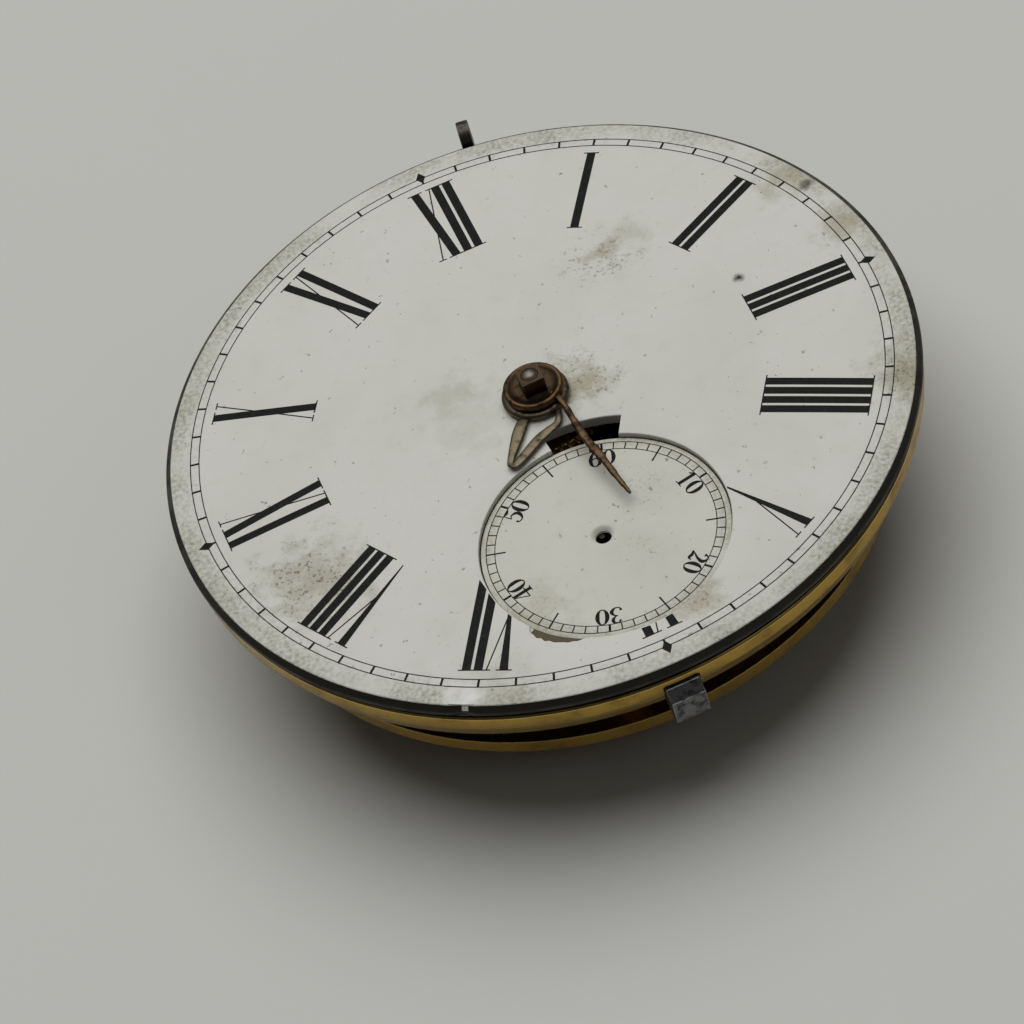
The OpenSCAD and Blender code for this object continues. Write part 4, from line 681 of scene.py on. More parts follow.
class Finish(Enum):
    """The finishes of the movement's pieces."""

    ENAMEL = Enamel((0.80, 0.805, 0.755), (0.765, 0.765, 0.70), MAIN_STAINS_AND_GLINT)
    SECONDS_ENAMEL = Enamel((0.755, 0.76, 0.685), (0.705, 0.70, 0.61), SECONDS_STAINS, SECONDS_AT,
                            (5.4, 6.6), BROWN, 0.5)
    DIAL_WALL = Enamel((0.72, 0.71, 0.65), (0.6, 0.58, 0.5), rim_cover=0.9, gloss=0.2)
    CHIP_FLOOR = Enamel((0.11, 0.083, 0.04), (0.055, 0.04, 0.018), rim_cover=0.9, gloss=0.2)
    COUNTER_ENAMEL = Enamel((0.52, 0.50, 0.44), (0.42, 0.39, 0.32))
    # The edge's chip, whiter than the dial: partly bare enamel, partly a painted glint.
    FRESH_CHIP = Enamel((0.90, 0.90, 0.88), (0.84, 0.84, 0.82), rim_cover=0.9)
    INK = Ink((0.005, 0.007, 0.006), (0.03, 0.034, 0.03))
    FINE_INK = Ink((0.012, 0.012, 0.011), (0.16, 0.15, 0.13), 0.5)
    DARK_EDGE = Metal((0.016, 0.014, 0.008), (0.006, 0.005, 0.003), rough=(0.35, 0.7),
                      tarnish_cover=0.42, metallic=0.0)
    COPPER_FOOT = Metal((0.42, 0.22, 0.12), (0.20, 0.12, 0.07), rough=(0.35, 0.6))
    GILT = Metal((0.43, 0.275, 0.06), (0.20, 0.12, 0.026), rough=(0.24, 0.48),
                 tarnish_cover=0.4, tarnish_soft=0.44, dirt_cover=0.63)
    GILT_EDGE = Metal((0.68, 0.49, 0.19), (0.40, 0.26, 0.085), rough=(0.18, 0.34),
                      tarnish_cover=0.56, dirt_cover=0.68)
    BRASS = Metal((0.74, 0.54, 0.23), (0.48, 0.33, 0.12), rough=(0.2, 0.42), fineness=22.0)
    BRASS_EDGE = Metal((0.88, 0.71, 0.40), (0.68, 0.52, 0.25), rough=(0.15, 0.3), dirt_cover=0.7)
    GOLD = Metal((0.88, 0.64, 0.27), (0.70, 0.48, 0.19), rough=(0.14, 0.3), dirt_cover=0.7)
    STEEL = Metal((0.56, 0.56, 0.57), (0.34, 0.33, 0.32), rough=(0.2, 0.42), fineness=24.0,
                  dirt_cover=0.66)
    STEEL_EDGE = Metal((0.72, 0.72, 0.73), (0.5, 0.49, 0.48), rough=(0.16, 0.3), dirt_cover=0.72)
    ARBOR_END = Metal((0.035, 0.028, 0.022), (0.02, 0.016, 0.012), rough=(0.5, 0.7),
                      worn_spot=(0.36, (0.27, 0.26, 0.22)))
    CHAIN = Metal((0.36, 0.36, 0.37), (0.20, 0.17, 0.14), rough=(0.28, 0.5), tarnish_scale=1.2)
    WORN_STEEL = Metal((0.20, 0.20, 0.205), (0.055, 0.055, 0.055), rough=(0.34, 0.6),
                       tarnish_scale=1.8, tarnish_cover=0.44, grain=0.5)
    DARK_STEEL = Metal((0.075, 0.07, 0.06), (0.03, 0.027, 0.022), rough=(0.4, 0.65),
                       tarnish_scale=1.8, grain=0.5)
    WORN_EDGE = Metal((0.40, 0.40, 0.40), (0.06, 0.06, 0.06), rough=(0.25, 0.45),
                      tarnish_scale=2.2, tarnish_cover=0.46)
    BLUED = Metal((0.06, 0.10, 0.30), (0.05, 0.06, 0.13), rough=(0.14, 0.3), dirt_cover=0.7)
    BLUED_EDGE = Metal((0.20, 0.24, 0.42), (0.10, 0.12, 0.22), rough=(0.14, 0.3), dirt_cover=0.7)
    BROWN_STEEL = Metal((0.06, 0.04, 0.025), (0.022, 0.015, 0.01), rough=(0.42, 0.7),
                        tarnish_scale=1.3, grain=0.5)
    BROWN_EDGE = Metal((0.14, 0.10, 0.06), (0.05, 0.036, 0.023), rough=(0.35, 0.55),
                       tarnish_scale=1.3)
    BRONZE = Metal((0.155, 0.13, 0.085), (0.06, 0.049, 0.03), rough=(0.38, 0.6),
                   tarnish_scale=1.7, tarnish_cover=0.46, grain=0.45)
    COPPER = Metal((0.115, 0.072, 0.04), (0.03, 0.021, 0.013), rough=(0.4, 0.66),
                   tarnish_scale=1.6, tarnish_cover=0.44, grain=0.5)
    RUST_RIM = Metal((0.12, 0.068, 0.032), (0.03, 0.02, 0.012), rough=(0.42, 0.68),
                     tarnish_scale=1.8, tarnish_cover=0.44, grain=0.5)
    RUBY = Jewel((0.42, 0.012, 0.05), (0.62, 0.05, 0.12))
    FLOOR = Paper((0.74, 0.75, 0.72), (0.72, 0.73, 0.705))

    def material(self) -> bpy.types.Material:
        """The finish's material, built at its first use."""
        name = "finish_" + self.name.lower()
        return bpy.data.materials.get(name) or self.value.build(name)


# Meshes

SHARP = 35.0
DOUBLED = 0.0005
SLIVER = 0.0002
FLAT_ANGLE = 0.6
ROD_SQUARENESS = 0.7
PRINT_SINK = -0.02


def put(name: str, data: bpy.types.ID) -> bpy.types.Object:
    """Makes an object of a mesh, a lamp or a camera, and links it into the scene.

    Args:
        name: Name of the object.
        data: What it shows.

    Returns:
        The object.
    """
    made = bpy.data.objects.new(name, data)
    bpy.context.scene.collection.objects.link(made)
    return made


def smooth(mesh: bpy.types.Mesh, sharp: float) -> None:
    """Smooths a mesh, apart from edges over an angle in degrees."""
    mesh.shade_smooth()
    mesh.set_sharp_from_angle(angle=math.radians(sharp))


def clean(mesh: bpy.types.Mesh, sharp: float, dissolve: bool = False) -> None:
    """Merges doubled points, turns the faces outward and smooths them up to an angle.

    Args:
        mesh: The mesh, in metres.
        sharp: Angle in degrees over which an edge stays sharp.
        dissolve: Whether flat groups of faces become one face.
    """
    work = bmesh.new()
    work.from_mesh(mesh)
    bmesh.ops.remove_doubles(work, verts=work.verts, dist=DOUBLED * MM)
    bmesh.ops.dissolve_degenerate(work, edges=work.edges, dist=SLIVER * MM)
    if dissolve:
        bmesh.ops.dissolve_limit(work, angle_limit=math.radians(FLAT_ANGLE), verts=work.verts,
                                 edges=work.edges)
    bmesh.ops.recalc_face_normals(work, faces=work.faces)
    work.to_mesh(mesh)
    work.free()
    smooth(mesh, sharp)


def seat(piece: bpy.types.Object, body: str, slot: str, *nodes: str) -> None:
    """Puts a finished piece on its body in place of its nodes.

    Args:
        piece: The object.
        body: Name of the body that it moves with.
        slot: The record's material slot, which is not used.
        nodes: Nodes that it stands for.
    """
    if nodes:
        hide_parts(*nodes)
    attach(piece, body)
    LOG.info("%s rides on %s", piece.name, body)


@dataclass
class Form:
    """A mesh under construction, in millimetres, with the number of each face's finish."""

    name: str
    points: list[Point3] = field(default_factory=list)
    faces: list[tuple[int, ...]] = field(default_factory=list)
    marks: list[int] = field(default_factory=list)

    def add(self, points: Sequence[Sequence[float]], faces: Sequence[Sequence[int]],
            mark: int = 0) -> None:
        """Adds points and the faces between them.

        Args:
            points: New points.
            faces: Faces, counted from the first new point.
            mark: Number of their finish.
        """
        start = len(self.points)
        self.points += [tuple(p) for p in points]
        self.faces += [tuple(i + start for i in face) for face in faces]
        self.marks += [int(mark)] * len(faces)

    def mark_from(self, first: int, test: Callable[[Point3], bool], mark: int) -> None:
        """Gives another finish to the faces that start at a point which passes a test.

        Args:
            first: Number of the first face that is looked at.
            test: The test.
            mark: Number of the finish.
        """
        for i in range(first, len(self.faces)):
            if test(self.points[self.faces[i][0]]):
                self.marks[i] = int(mark)

    def rows(self, rows: Sequence[Sequence[Point3]], mark: int = 0, closed: bool = False,
             caps: bool = False) -> None:
        """Adds a skin through closed rows of as many points each.

        Args:
            rows: The rows.
            mark: Number of its finish.
            closed: Whether the last row joins the first.
            caps: Whether the first and last rows are filled.
        """
        n, count = len(rows[0]), len(rows)
        faces: list[tuple[int, ...]] = []
        for i in range(count if closed else count - 1):
            a, b = i * n, (i + 1) % count * n
            for k in range(n):
                m = (k + 1) % n
                faces.append((a + k, a + m, b + m, b + k))
        if caps:
            faces += [tuple(range(n - 1, -1, -1)), tuple(range((count - 1) * n, count * n))]
        self.add([p for row in rows for p in row], faces, mark)

    def lathe(self, profile: Sequence[Point], centre: Point, steps: int, mark: int = 0,
              closed: bool = True) -> None:
        """Adds a turned skin from points of radius and height about an axis."""
        rows = [[(*p, z) for p in circle(r, steps, centre)] for r, z in profile]
        self.rows(rows, mark, closed=closed)

    def sweep(self, line: Sequence[Sequence[float]], sides: int, mark: int = 0) -> None:
        """Adds a rod along a line, rounded and flattened.

        Args:
            line: Points of x, y, z, half width and half height.
            sides: Sides of the rod.
            mark: Number of its finish.
        """
        rows = []
        for i, (x, y, z, wide, high) in enumerate(line):
            a, b = line[max(i - 1, 0)], line[min(i + 1, len(line) - 1)]
            along = Vector((b[0] - a[0], b[1] - a[1], b[2] - a[2])).normalized()
            side = Vector((-along.y, along.x, 0)).normalized()
            up = along.cross(side) * -1
            row = []
            for k in range(sides):
                turn = 2 * math.pi * k / sides
                c, s = (math.copysign(abs(value) ** ROD_SQUARENESS, value)
                        for value in (math.cos(turn), math.sin(turn)))
                row.append(tuple(Vector((x, y, z)) + side * (wide * c) + up * (high * s)))
            rows.append(row)
        self.rows(rows, mark, caps=True)

    def ribbon(self, left: Sequence[Point], right: Sequence[Point], height: Height, lift: float,
               closed: bool = False) -> None:
        """Adds a thin closed ribbon of print that follows a curved face.

        Args:
            left: Points of one edge.
            right: Points of the other, as many.
            height: Height of the face at a point.
            lift: Top of the ribbon above the face.
            closed: Whether the ribbon joins up with its start.
        """
        rows = [[(*q, height(*q) + h)
                 for q, h in ((a, PRINT_SINK), (a, lift), (b, lift), (b, PRINT_SINK))]
                for a, b in zip(left, right)]
        self.rows(rows, closed=closed, caps=not closed)

    def build(self, finishes: Sequence[Finish], sharp: float = SHARP) -> bpy.types.Object:
        """Makes the object, with its place in its mesh.

        Args:
            finishes: Finishes by number.
            sharp: Angle in degrees over which an edge stays sharp.

        Returns:
            The object, in metres.
        """
        mesh = bpy.data.meshes.new(self.name)
        mesh.from_pydata([tuple(c * MM for c in p) for p in self.points], [], self.faces)
        for finish in finishes:
            mesh.materials.append(finish.material())
        for polygon, number in zip(mesh.polygons, self.marks):
            polygon.material_index = number
        clean(mesh, sharp)
        return put(self.name, mesh)


# Geometry node trees for what repeats


def geometry_tree(name: str, inputs: dict[str, str], draw: Drawing) -> bpy.types.NodeTree:
    """Makes a geometry node tree that ends in realised instances with a material, once.

    Args:
        name: Name of the tree.
        inputs: Names of the inputs with their socket types, besides Geometry and Finish.
        draw: Draws the nodes, and gives back the instances.

    Returns:
        The tree.
    """
    tree = bpy.data.node_groups.get(name)
    if tree:
        return tree
    tree = bpy.data.node_groups.new(name, "GeometryNodeTree")
    kinds = {"Geometry": "NodeSocketGeometry", **inputs, "Finish": "NodeSocketMaterial"}
    for key, kind in kinds.items():
        tree.interface.new_socket(name=key, in_out="INPUT", socket_type=kind)
    tree.interface.new_socket(name="Geometry", in_out="OUTPUT", socket_type="NodeSocketGeometry")
    graph = Graph(tree)
    given = graph.node("NodeGroupInput").outputs
    instances = draw(graph, {key: given[key] for key in ("Geometry", *inputs)})
    real = graph.node("GeometryNodeRealizeInstances", {"Geometry": instances}).outputs[0]
    painted = graph.node("GeometryNodeSetMaterial", {"Geometry": real, "Material": given["Finish"]})
    graph.node("NodeGroupOutput", {"Geometry": painted.outputs[0]})
    return tree


def copies(graph: Graph, points: Socket, pattern: Socket, angles: Socket) -> Socket:
    """Copies of an object on points, each turned by its own angles.

    Args:
        graph: The tree's graph.
        points: The points.
        pattern: The object.
        angles: Turns about X, Y and Z.

    Returns:
        The instances.
    """
    rotation = graph.node("FunctionNodeEulerToRotation", {0: angles}).outputs[0]
    shape = graph.node("GeometryNodeObjectInfo", {"Object": pattern}).outputs["Geometry"]
    return graph.node("GeometryNodeInstanceOnPoints", {
        "Points": points, "Instance": shape, "Rotation": rotation}).outputs[0]


def draw_ring(graph: Graph, given: Given) -> Socket:
    """Copies of a mark, turned about a centre.

    Args:
        graph: The tree's graph.
        given: Inputs Mark, Count, Centre, Start and Step.

    Returns:
        The instances.
    """
    points = graph.node("GeometryNodePoints",
                        {"Count": given["Count"], "Position": given["Centre"]})
    index = graph.node("GeometryNodeInputIndex").outputs[0]
    turn = graph.math("MULTIPLY_ADD", index, given["Step"], given["Start"])
    angles = graph.node("ShaderNodeCombineXYZ", {"Z": turn}).outputs[0]
    return copies(graph, points.outputs[0], given["Mark"], angles)


def draw_links(graph: Graph, given: Given) -> Socket:
    """Copies of a Link on the points of a Geometry, turned by the points' attribute aim."""
    aim = graph.node("GeometryNodeInputNamedAttribute", {"Name": "aim"}, data_type="FLOAT_VECTOR")
    return copies(graph, given["Geometry"], given["Link"], aim.outputs["Attribute"])


RING_INPUTS = {"Mark": "NodeSocketObject", "Count": "NodeSocketInt", "Centre": "NodeSocketVector",
               "Start": "NodeSocketFloat", "Step": "NodeSocketFloat"}
LINK_INPUTS = {"Link": "NodeSocketObject"}


def bake(name: str, base: bpy.types.Mesh, tree: bpy.types.NodeTree,
         inputs: dict[str, object]) -> bpy.types.Object:
    """Runs a geometry node tree once and keeps its mesh.

    Args:
        name: Name of the object.
        base: Mesh that the tree starts from.
        tree: The tree.
        inputs: Values of its named inputs.

    Returns:
        An object with the plain mesh, without the modifier.
    """
    host = put(name + "_host", base)
    modifier = host.modifiers.new("repeat", "NODES")
    modifier.node_group = tree
    sockets = {item.name: item.identifier for item in tree.interface.items_tree
               if item.item_type == "SOCKET" and item.in_out == "INPUT"}
    for key, value in inputs.items():
        modifier[sockets[key]] = value
    bpy.context.view_layer.update()
    graph = bpy.context.evaluated_depsgraph_get()
    mesh = bpy.data.meshes.new_from_object(host.evaluated_get(graph))
    bpy.data.objects.remove(host)
    mesh.name = name
    smooth(mesh, SHARP)
    return put(name, mesh)


def ring_of(name: str, mark: Form, finish: Finish, count: int, centre: Point = (0.0, 0.0),
            start: float = 0.0) -> bpy.types.Object:
    """A full ring of copies of one mark, clockwise.

    Args:
        name: Name of the object.
        mark: The mark, drawn at XII about the origin.
        finish: Its finish.
        count: Number of copies.
        centre: Middle of the ring.
        start: Clockwise turn of the first copy, in degrees.

    Returns:
        The ring as one object.
    """
    pattern = mark.build([finish])
    tree = geometry_tree("ring_of_marks", RING_INPUTS, draw_ring)
    made = bake(name, bpy.data.meshes.new(name + "_base"), tree, {
        "Mark": pattern, "Count": count, "Centre": (centre[0] * MM, centre[1] * MM, 0.0),
        "Start": -math.radians(start), "Step": -math.radians(360 / count),
        "Finish": finish.material()})
    bpy.data.objects.remove(pattern)
    return made


def merge(name: str, pieces: Sequence[bpy.types.Object]) -> bpy.types.Object:
    """Joins pieces of one body into one object.

    Args:
        name: Name of the object.
        pieces: The pieces, which are used up.

    Returns:
        The joined object.
    """
    first = pieces[0]
    with bpy.context.temp_override(active_object=first, selected_editable_objects=list(pieces)):
        bpy.ops.object.join()
    first.name = name
    first.data.name = name
    return first


# The dial and its print

CLOSE = 1e-6


class DialSkin(IntEnum):
    """The skins of the dial, by the number of their finish."""

    FACE = 0
    EDGE = 1
    BACK = 2
    WALL = 3
    # the edge's chip: bare enamel with a painted glint
    FRESH_CHIP = 4
    FOOT = 5
    CHIP_FLOOR = 6


DIAL_FINISHES = (Finish.ENAMEL, Finish.DARK_EDGE, Finish.COUNTER_ENAMEL, Finish.DIAL_WALL,
                 Finish.FRESH_CHIP, Finish.COPPER_FOOT, Finish.CHIP_FLOOR)


@dataclass(frozen=True)
class Dial:
    """The enamel dial: a crowned plate with rolled edges, its dark rim, its chips and its feet.

    The opening's chip is a first and a last angle and a depth, and its ledges give drops from the
    face and least heights over the seat. The edge's chip is an angle, a spread and a depth. The
    roll gives distances from an edge, heights against the face and shares of the edge's chip. The
    upper and lower edge give insets, distances from the face and from the back as shares of the
    edge's rounding, and shares of the chip. A foot's flare is a share of its radius and a length.
    """

    face_r: float = 21.03
    edge_r: float = 21.35
    thickness: float = 0.65
    crown: float = 0.53
    gap: float = 0.35
    edge_round: float = 0.25
    back_inset: float = 0.5
    hole_r: float = 1.55
    seconds_r: float = 6.96
    pocket_r: float = 7.85
    window_r: float = 8.28
    window: Point = (62.6, 94.0)
    seat_z: float = 0.988
    rim_chip: Point3 = (213.0, 240.0, 0.55)
    chip_skew: float = 0.7
    chip_fullness: float = 0.6
    chip_wave: float = 0.1
    chip_waves: float = 37.0
    chip_above: float = 0.002
    chip_ledges: tuple[Point, Point] = ((0.13, 0.01), (0.17, 0.005))
    edge_chip: Point3 = (238.0, 1.9, 0.16)
    edge_chip_slope: float = 0.5
    upper_edge: tuple[Point3, ...] = ((0.05, 0.95, 1.0), (0.0, 1.3, 1.0))
    lower_edge: tuple[Point3, ...] = ((0.0, 0.6, 1.0), (0.08, 0.25, 0.0))
    # share of the edge chip's spread, and depth below the face, that get the painted glint
    chip_glint_share: float = 0.3
    chip_glint_depth: float = 0.2
    foot_r: float = 0.5
    foot_flare: Point = (1.25, 0.3)
    foot_bite: float = 0.05
    foot_chamfer: float = 0.1
    foot_sides: int = 32
    foot_ring_r: float = 17.6
    foot_end_z: float = -2.9
    foot_angles: tuple[float, ...] = (45.0, 170.0, 300.0)
    roll: tuple[Point3, ...] = ((0.07, 0.0, 0.0), (0.035, -0.006, 0.6), (0.012, -0.024, 0.6),
                                (0.0, -0.055, 0.6))
    rim_sides: int = 360
    hole_sides: int = 64
    opening_sides: int = 163
    window_sides: int = 14
    net: float = 0.85
    net_room: float = 1.1
    net_least: int = 8
    sharp: float = 40.0

    def height(self, x: float, y: float) -> float:
        """Height of the crowned face."""
        return self.gap + self.thickness + self.crown * (1 - (x * x + y * y) / self.face_r ** 2)

    def under(self, x: float, y: float) -> float:
        """Height of the back."""
        return self.height(x, y) - self.thickness

    def back_r(self) -> float:
        """Radius of the back, inside the rounded edge."""
        return self.edge_r - self.edge_round - self.back_inset

    def chip(self, degrees: float) -> float:
        """Depth of the chip in the rim of the seconds opening.

        Args:
            degrees: Angle about the seconds dial's centre.

        Returns:
            How far the rim is broken back.
        """
        start, end, depth = self.rim_chip
        share = (degrees - start) / (end - start)
        if not 0 < share < 1:
            return 0.0
        arch = math.sin(math.pi * share ** self.chip_skew) ** self.chip_fullness
        wave = 1 - self.chip_wave + self.chip_wave * math.sin(self.chip_waves * share)
        return depth * arch * wave

    def opening(self, grow: float = 0.0, pocket: bool = False,
                chipped: bool = False) -> list[Point]:
        """Outline of the opening for the seconds dial, with the window at its top.

        Args:
            grow: Distance that the outline is moved outward.
            pocket: Whether it is the wider pocket behind.
            chipped: Whether the chip in the rim is cut out of it.

        Returns:
            Points of the outline, anticlockwise.
        """
        start, end = self.window
        inner = (self.pocket_r if pocket else self.seconds_r) + grow
        outer = self.window_r + grow
        lean = math.degrees(grow / outer)
        round_angles = spaced(end + lean, start - lean + 360, self.opening_sides)
        window_angles = spaced(start - lean, end + lean, self.window_sides)
        return ([polar(inner + chipped * self.chip(a), a, SECONDS_AT) for a in round_angles]
                + [polar(outer, a, SECONDS_AT) for a in window_angles])

    def is_open(self, x: float, y: float, room: float = 0.0) -> bool:
        """Whether a point lies in one of the dial's openings.

        Args:
            x: Place along X.
            y: Place along Y.
            room: Extra distance round the openings.

        Returns:
            True in an opening.
        """
        dx, dy = x - SECONDS_AT[0], y - SECONDS_AT[1]
        angle = math.degrees(math.atan2(dy, dx))
        lean = math.degrees(room / self.window_r)
        in_window = self.window[0] - lean < angle < self.window[1] + lean
        reach = self.window_r if in_window else self.seconds_r + self.chip(angle % 360)
        return math.hypot(dx, dy) < reach + room or math.hypot(x, y) < self.hole_r + room

    def net_points(self) -> list[Point]:
        """Points of a net over the face, clear of the openings.

        Returns:
            The points, ring by ring.
        """
        out = []
        rings = int(self.face_r / self.net)
        for i in range(1, rings):
            r = self.face_r * i / rings
            count = max(self.net_least, int(2 * math.pi * r / self.net))
            out += [polar(r, 360 * (k + 0.5 * (i % 2)) / count) for k in range(count)]
        return [p for p in out if not self.is_open(*p, self.net_room)]

    def skin(self, form: Form, outlines: Sequence[list[Point]], height: Height,
             mark: DialSkin) -> None:
        """Fills the region between a rim and its holes with a fine net.

        Args:
            form: The dial's form.
            outlines: The rim and the holes.
            height: Height at a point.
            mark: Which skin it is.
        """
        points: list[Point] = []
        edges: list[tuple[int, int]] = []
        for outline in outlines:
            start, count = len(points), len(outline)
            edges += [(start + i, start + (i + 1) % count) for i in range(count)]
            points += outline
        points += self.net_points()
        flat, _, faces, *_ = delaunay_2d_cdt([Vector(p) for p in points], edges, [], 0, CLOSE)
        kept = []
        for face in faces:
            middle = sum((flat[i] for i in face), Vector((0, 0))) / len(face)
            if not any(inside(middle, hole) for hole in outlines[1:]):
                kept.append(face)
        form.add([(p.x, p.y, height(p.x, p.y)) for p in flat], kept, mark)

    def lifted(self, outline: Sequence[Point], drop: float) -> list[Point3]:
        """An outline on the face, moved up or down."""
        return [(*p, self.height(*p) + drop) for p in outline]

    def is_chipped(self, point: Point3) -> bool:
        """Whether a point of the opening's wall lies in its chip."""
        angle = math.atan2(point[1] - SECONDS_AT[1], point[0] - SECONDS_AT[0])
        return self.chip(math.degrees(angle) % 360) > 0 and point[2] > self.seat_z + self.chip_above

    def in_chip_glint(self, point: Point3) -> bool:
        """Whether a point of the rim lies in its chip, whose bright white is partly bare enamel and
        partly a painted glint.

        Args:
            point: The point.

        Returns:
            True in the chip.
        """
        at, spread, _ = self.edge_chip
        away = abs(math.degrees(math.atan2(point[1], point[0])) % 360 - at)
        top = self.height(self.face_r, 0)
        return away < self.chip_glint_share * spread and point[2] > top - self.chip_glint_depth

    def openings(self, form: Form) -> None:
        """Adds the walls of the centre hole and of the seconds opening.

        Args:
            form: The dial's form.
        """
        lip = self.roll[-1][1]
        hub = circle(self.hole_r, self.hole_sides)
        form.rows([self.lifted(circle(self.hole_r + grow, self.hole_sides), drop)
                   for grow, drop, _ in self.roll], DialSkin.FACE)
        form.rows([self.lifted(hub, lip), self.lifted(hub, -self.thickness)], DialSkin.WALL)
        form.rows([self.lifted(self.opening(grow, chipped=True), drop)
                   for grow, drop, _ in self.roll], DialSkin.FACE)
        broken, whole = self.opening(chipped=True), self.opening()
        pocket = self.opening(pocket=True)
        ledges = [[(*p, max(self.height(*p) - drop, self.seat_z + least)) for p in outline]
                  for outline, (drop, least) in zip((broken, whole), self.chip_ledges)]
        first = len(form.faces)
        form.rows([self.lifted(broken, lip), *ledges,
                   *([(*p, self.seat_z) for p in outline] for outline in (whole, pocket)),
                   self.lifted(pocket, -self.thickness)], DialSkin.WALL)
        form.mark_from(first, self.is_chipped, DialSkin.CHIP_FLOOR)

    def ring(self, r: float, z: float, share: float) -> list[Point3]:
        """One ring of the rim, broken back at the chip.

        Args:
            r: Its radius.
            z: Its height.
            share: Share of the chip's depth.

        Returns:
            The ring's points.
        """
        at, spread, depth = self.edge_chip
        out = []
        for a in spaced(0, 360, self.rim_sides)[:-1]:
            bite = share * depth * max(0.0, 1 - ((a - at) / spread) ** 2)
            out.append((*polar(r - bite, a), z - self.edge_chip_slope * bite))
        return out

    def rim(self, form: Form) -> None:
        """Adds the rolled rim and the dark edge below it, with the chip painted bright white as
        bare enamel with a painted glint.

        Args:
            form: The dial's form.
        """
        rolled = []
        for grow, drop, share in self.roll:
            r = self.face_r - grow
            rolled.append(self.ring(r, self.height(r, 0) + drop, share))
        form.rows(rolled, DialSkin.FACE)
        edge = [rolled[-1]]
        for steps, z, way in ((self.upper_edge, self.height(self.face_r, 0), -self.edge_round),
                              (self.lower_edge, self.gap, self.edge_round)):
            edge += [self.ring(self.edge_r - inset, z + way * far, share)
                     for inset, far, share in steps]
        back_r = self.back_r()
        edge.append(self.ring(self.edge_r - self.edge_round, self.gap, 0.0))
        edge.append(self.ring(back_r, self.under(back_r, 0), 0.0))
        first = len(form.faces)
        form.rows(edge, DialSkin.EDGE)
        # the top of the edge's chip gets the bright white: bare enamel with a painted glint
        form.mark_from(first, self.in_chip_glint, DialSkin.FRESH_CHIP)

    def feet(self, form: Form) -> None:
        """Adds the feet that hold the dial.

        Args:
            form: The dial's form.
        """
        flare, length = self.foot_flare
        for angle in self.foot_angles:
            at = polar(self.foot_ring_r, angle)
            head = self.under(*at) + self.foot_bite
            form.lathe([(0, head), (self.foot_r * flare, head), (self.foot_r, head - length),
                        (self.foot_r, self.foot_end_z + self.foot_chamfer),
                        (self.foot_r - self.foot_chamfer, self.foot_end_z), (0, self.foot_end_z)],
                       at, self.foot_sides, DialSkin.FOOT, closed=False)

    def build(self) -> None:
        """Builds the dial and puts it on the frame."""
        form = Form("dial_plate")
        width = self.roll[0][0]
        self.skin(form, [circle(self.face_r - width, self.rim_sides),
                         circle(self.hole_r + width, self.hole_sides),
                         self.opening(width, chipped=True)], self.height, DialSkin.FACE)
        self.skin(form, [circle(self.back_r(), self.rim_sides),
                         circle(self.hole_r, self.hole_sides),
                         self.opening(pocket=True)], self.under, DialSkin.BACK)
        self.openings(form)
        self.rim(form)
        self.feet(form)
        seat(form.build(DIAL_FINISHES, self.sharp), "frame", "enamel", "dial")


DIAL = Dial()
NUMERAL_TOP = 18.78
NUMERAL_FOOT = 12.75
HOUR_ANGLE = 30.0
TEN_SECONDS = 60.0


@dataclass(frozen=True)
class Stroke:
    """A straight stroke of a numeral: its middle and width at the top and at the bottom."""

    top: float
    bottom: float
    top_w: float
    bottom_w: float
    top_v: float = NUMERAL_TOP
    bottom_v: float = NUMERAL_FOOT
    lift: float = 0.012


ROMAN_HOURS = (("I", 0.0), ("II", -0.33), ("III", -0.66), ("IIII", -0.95), ("V", -0.55),
               ("VI", -0.9), ("VII", -1.25), ("VIII", -1.42), ("IX", -0.68), ("X", -0.75),
               ("XI", -0.42), ("XII", -0.77))
ADVANCE = {("I", "I"): 0.66, ("I", "X"): 0.85, ("X", "I"): 1.25, ("V", "I"): 1.42}


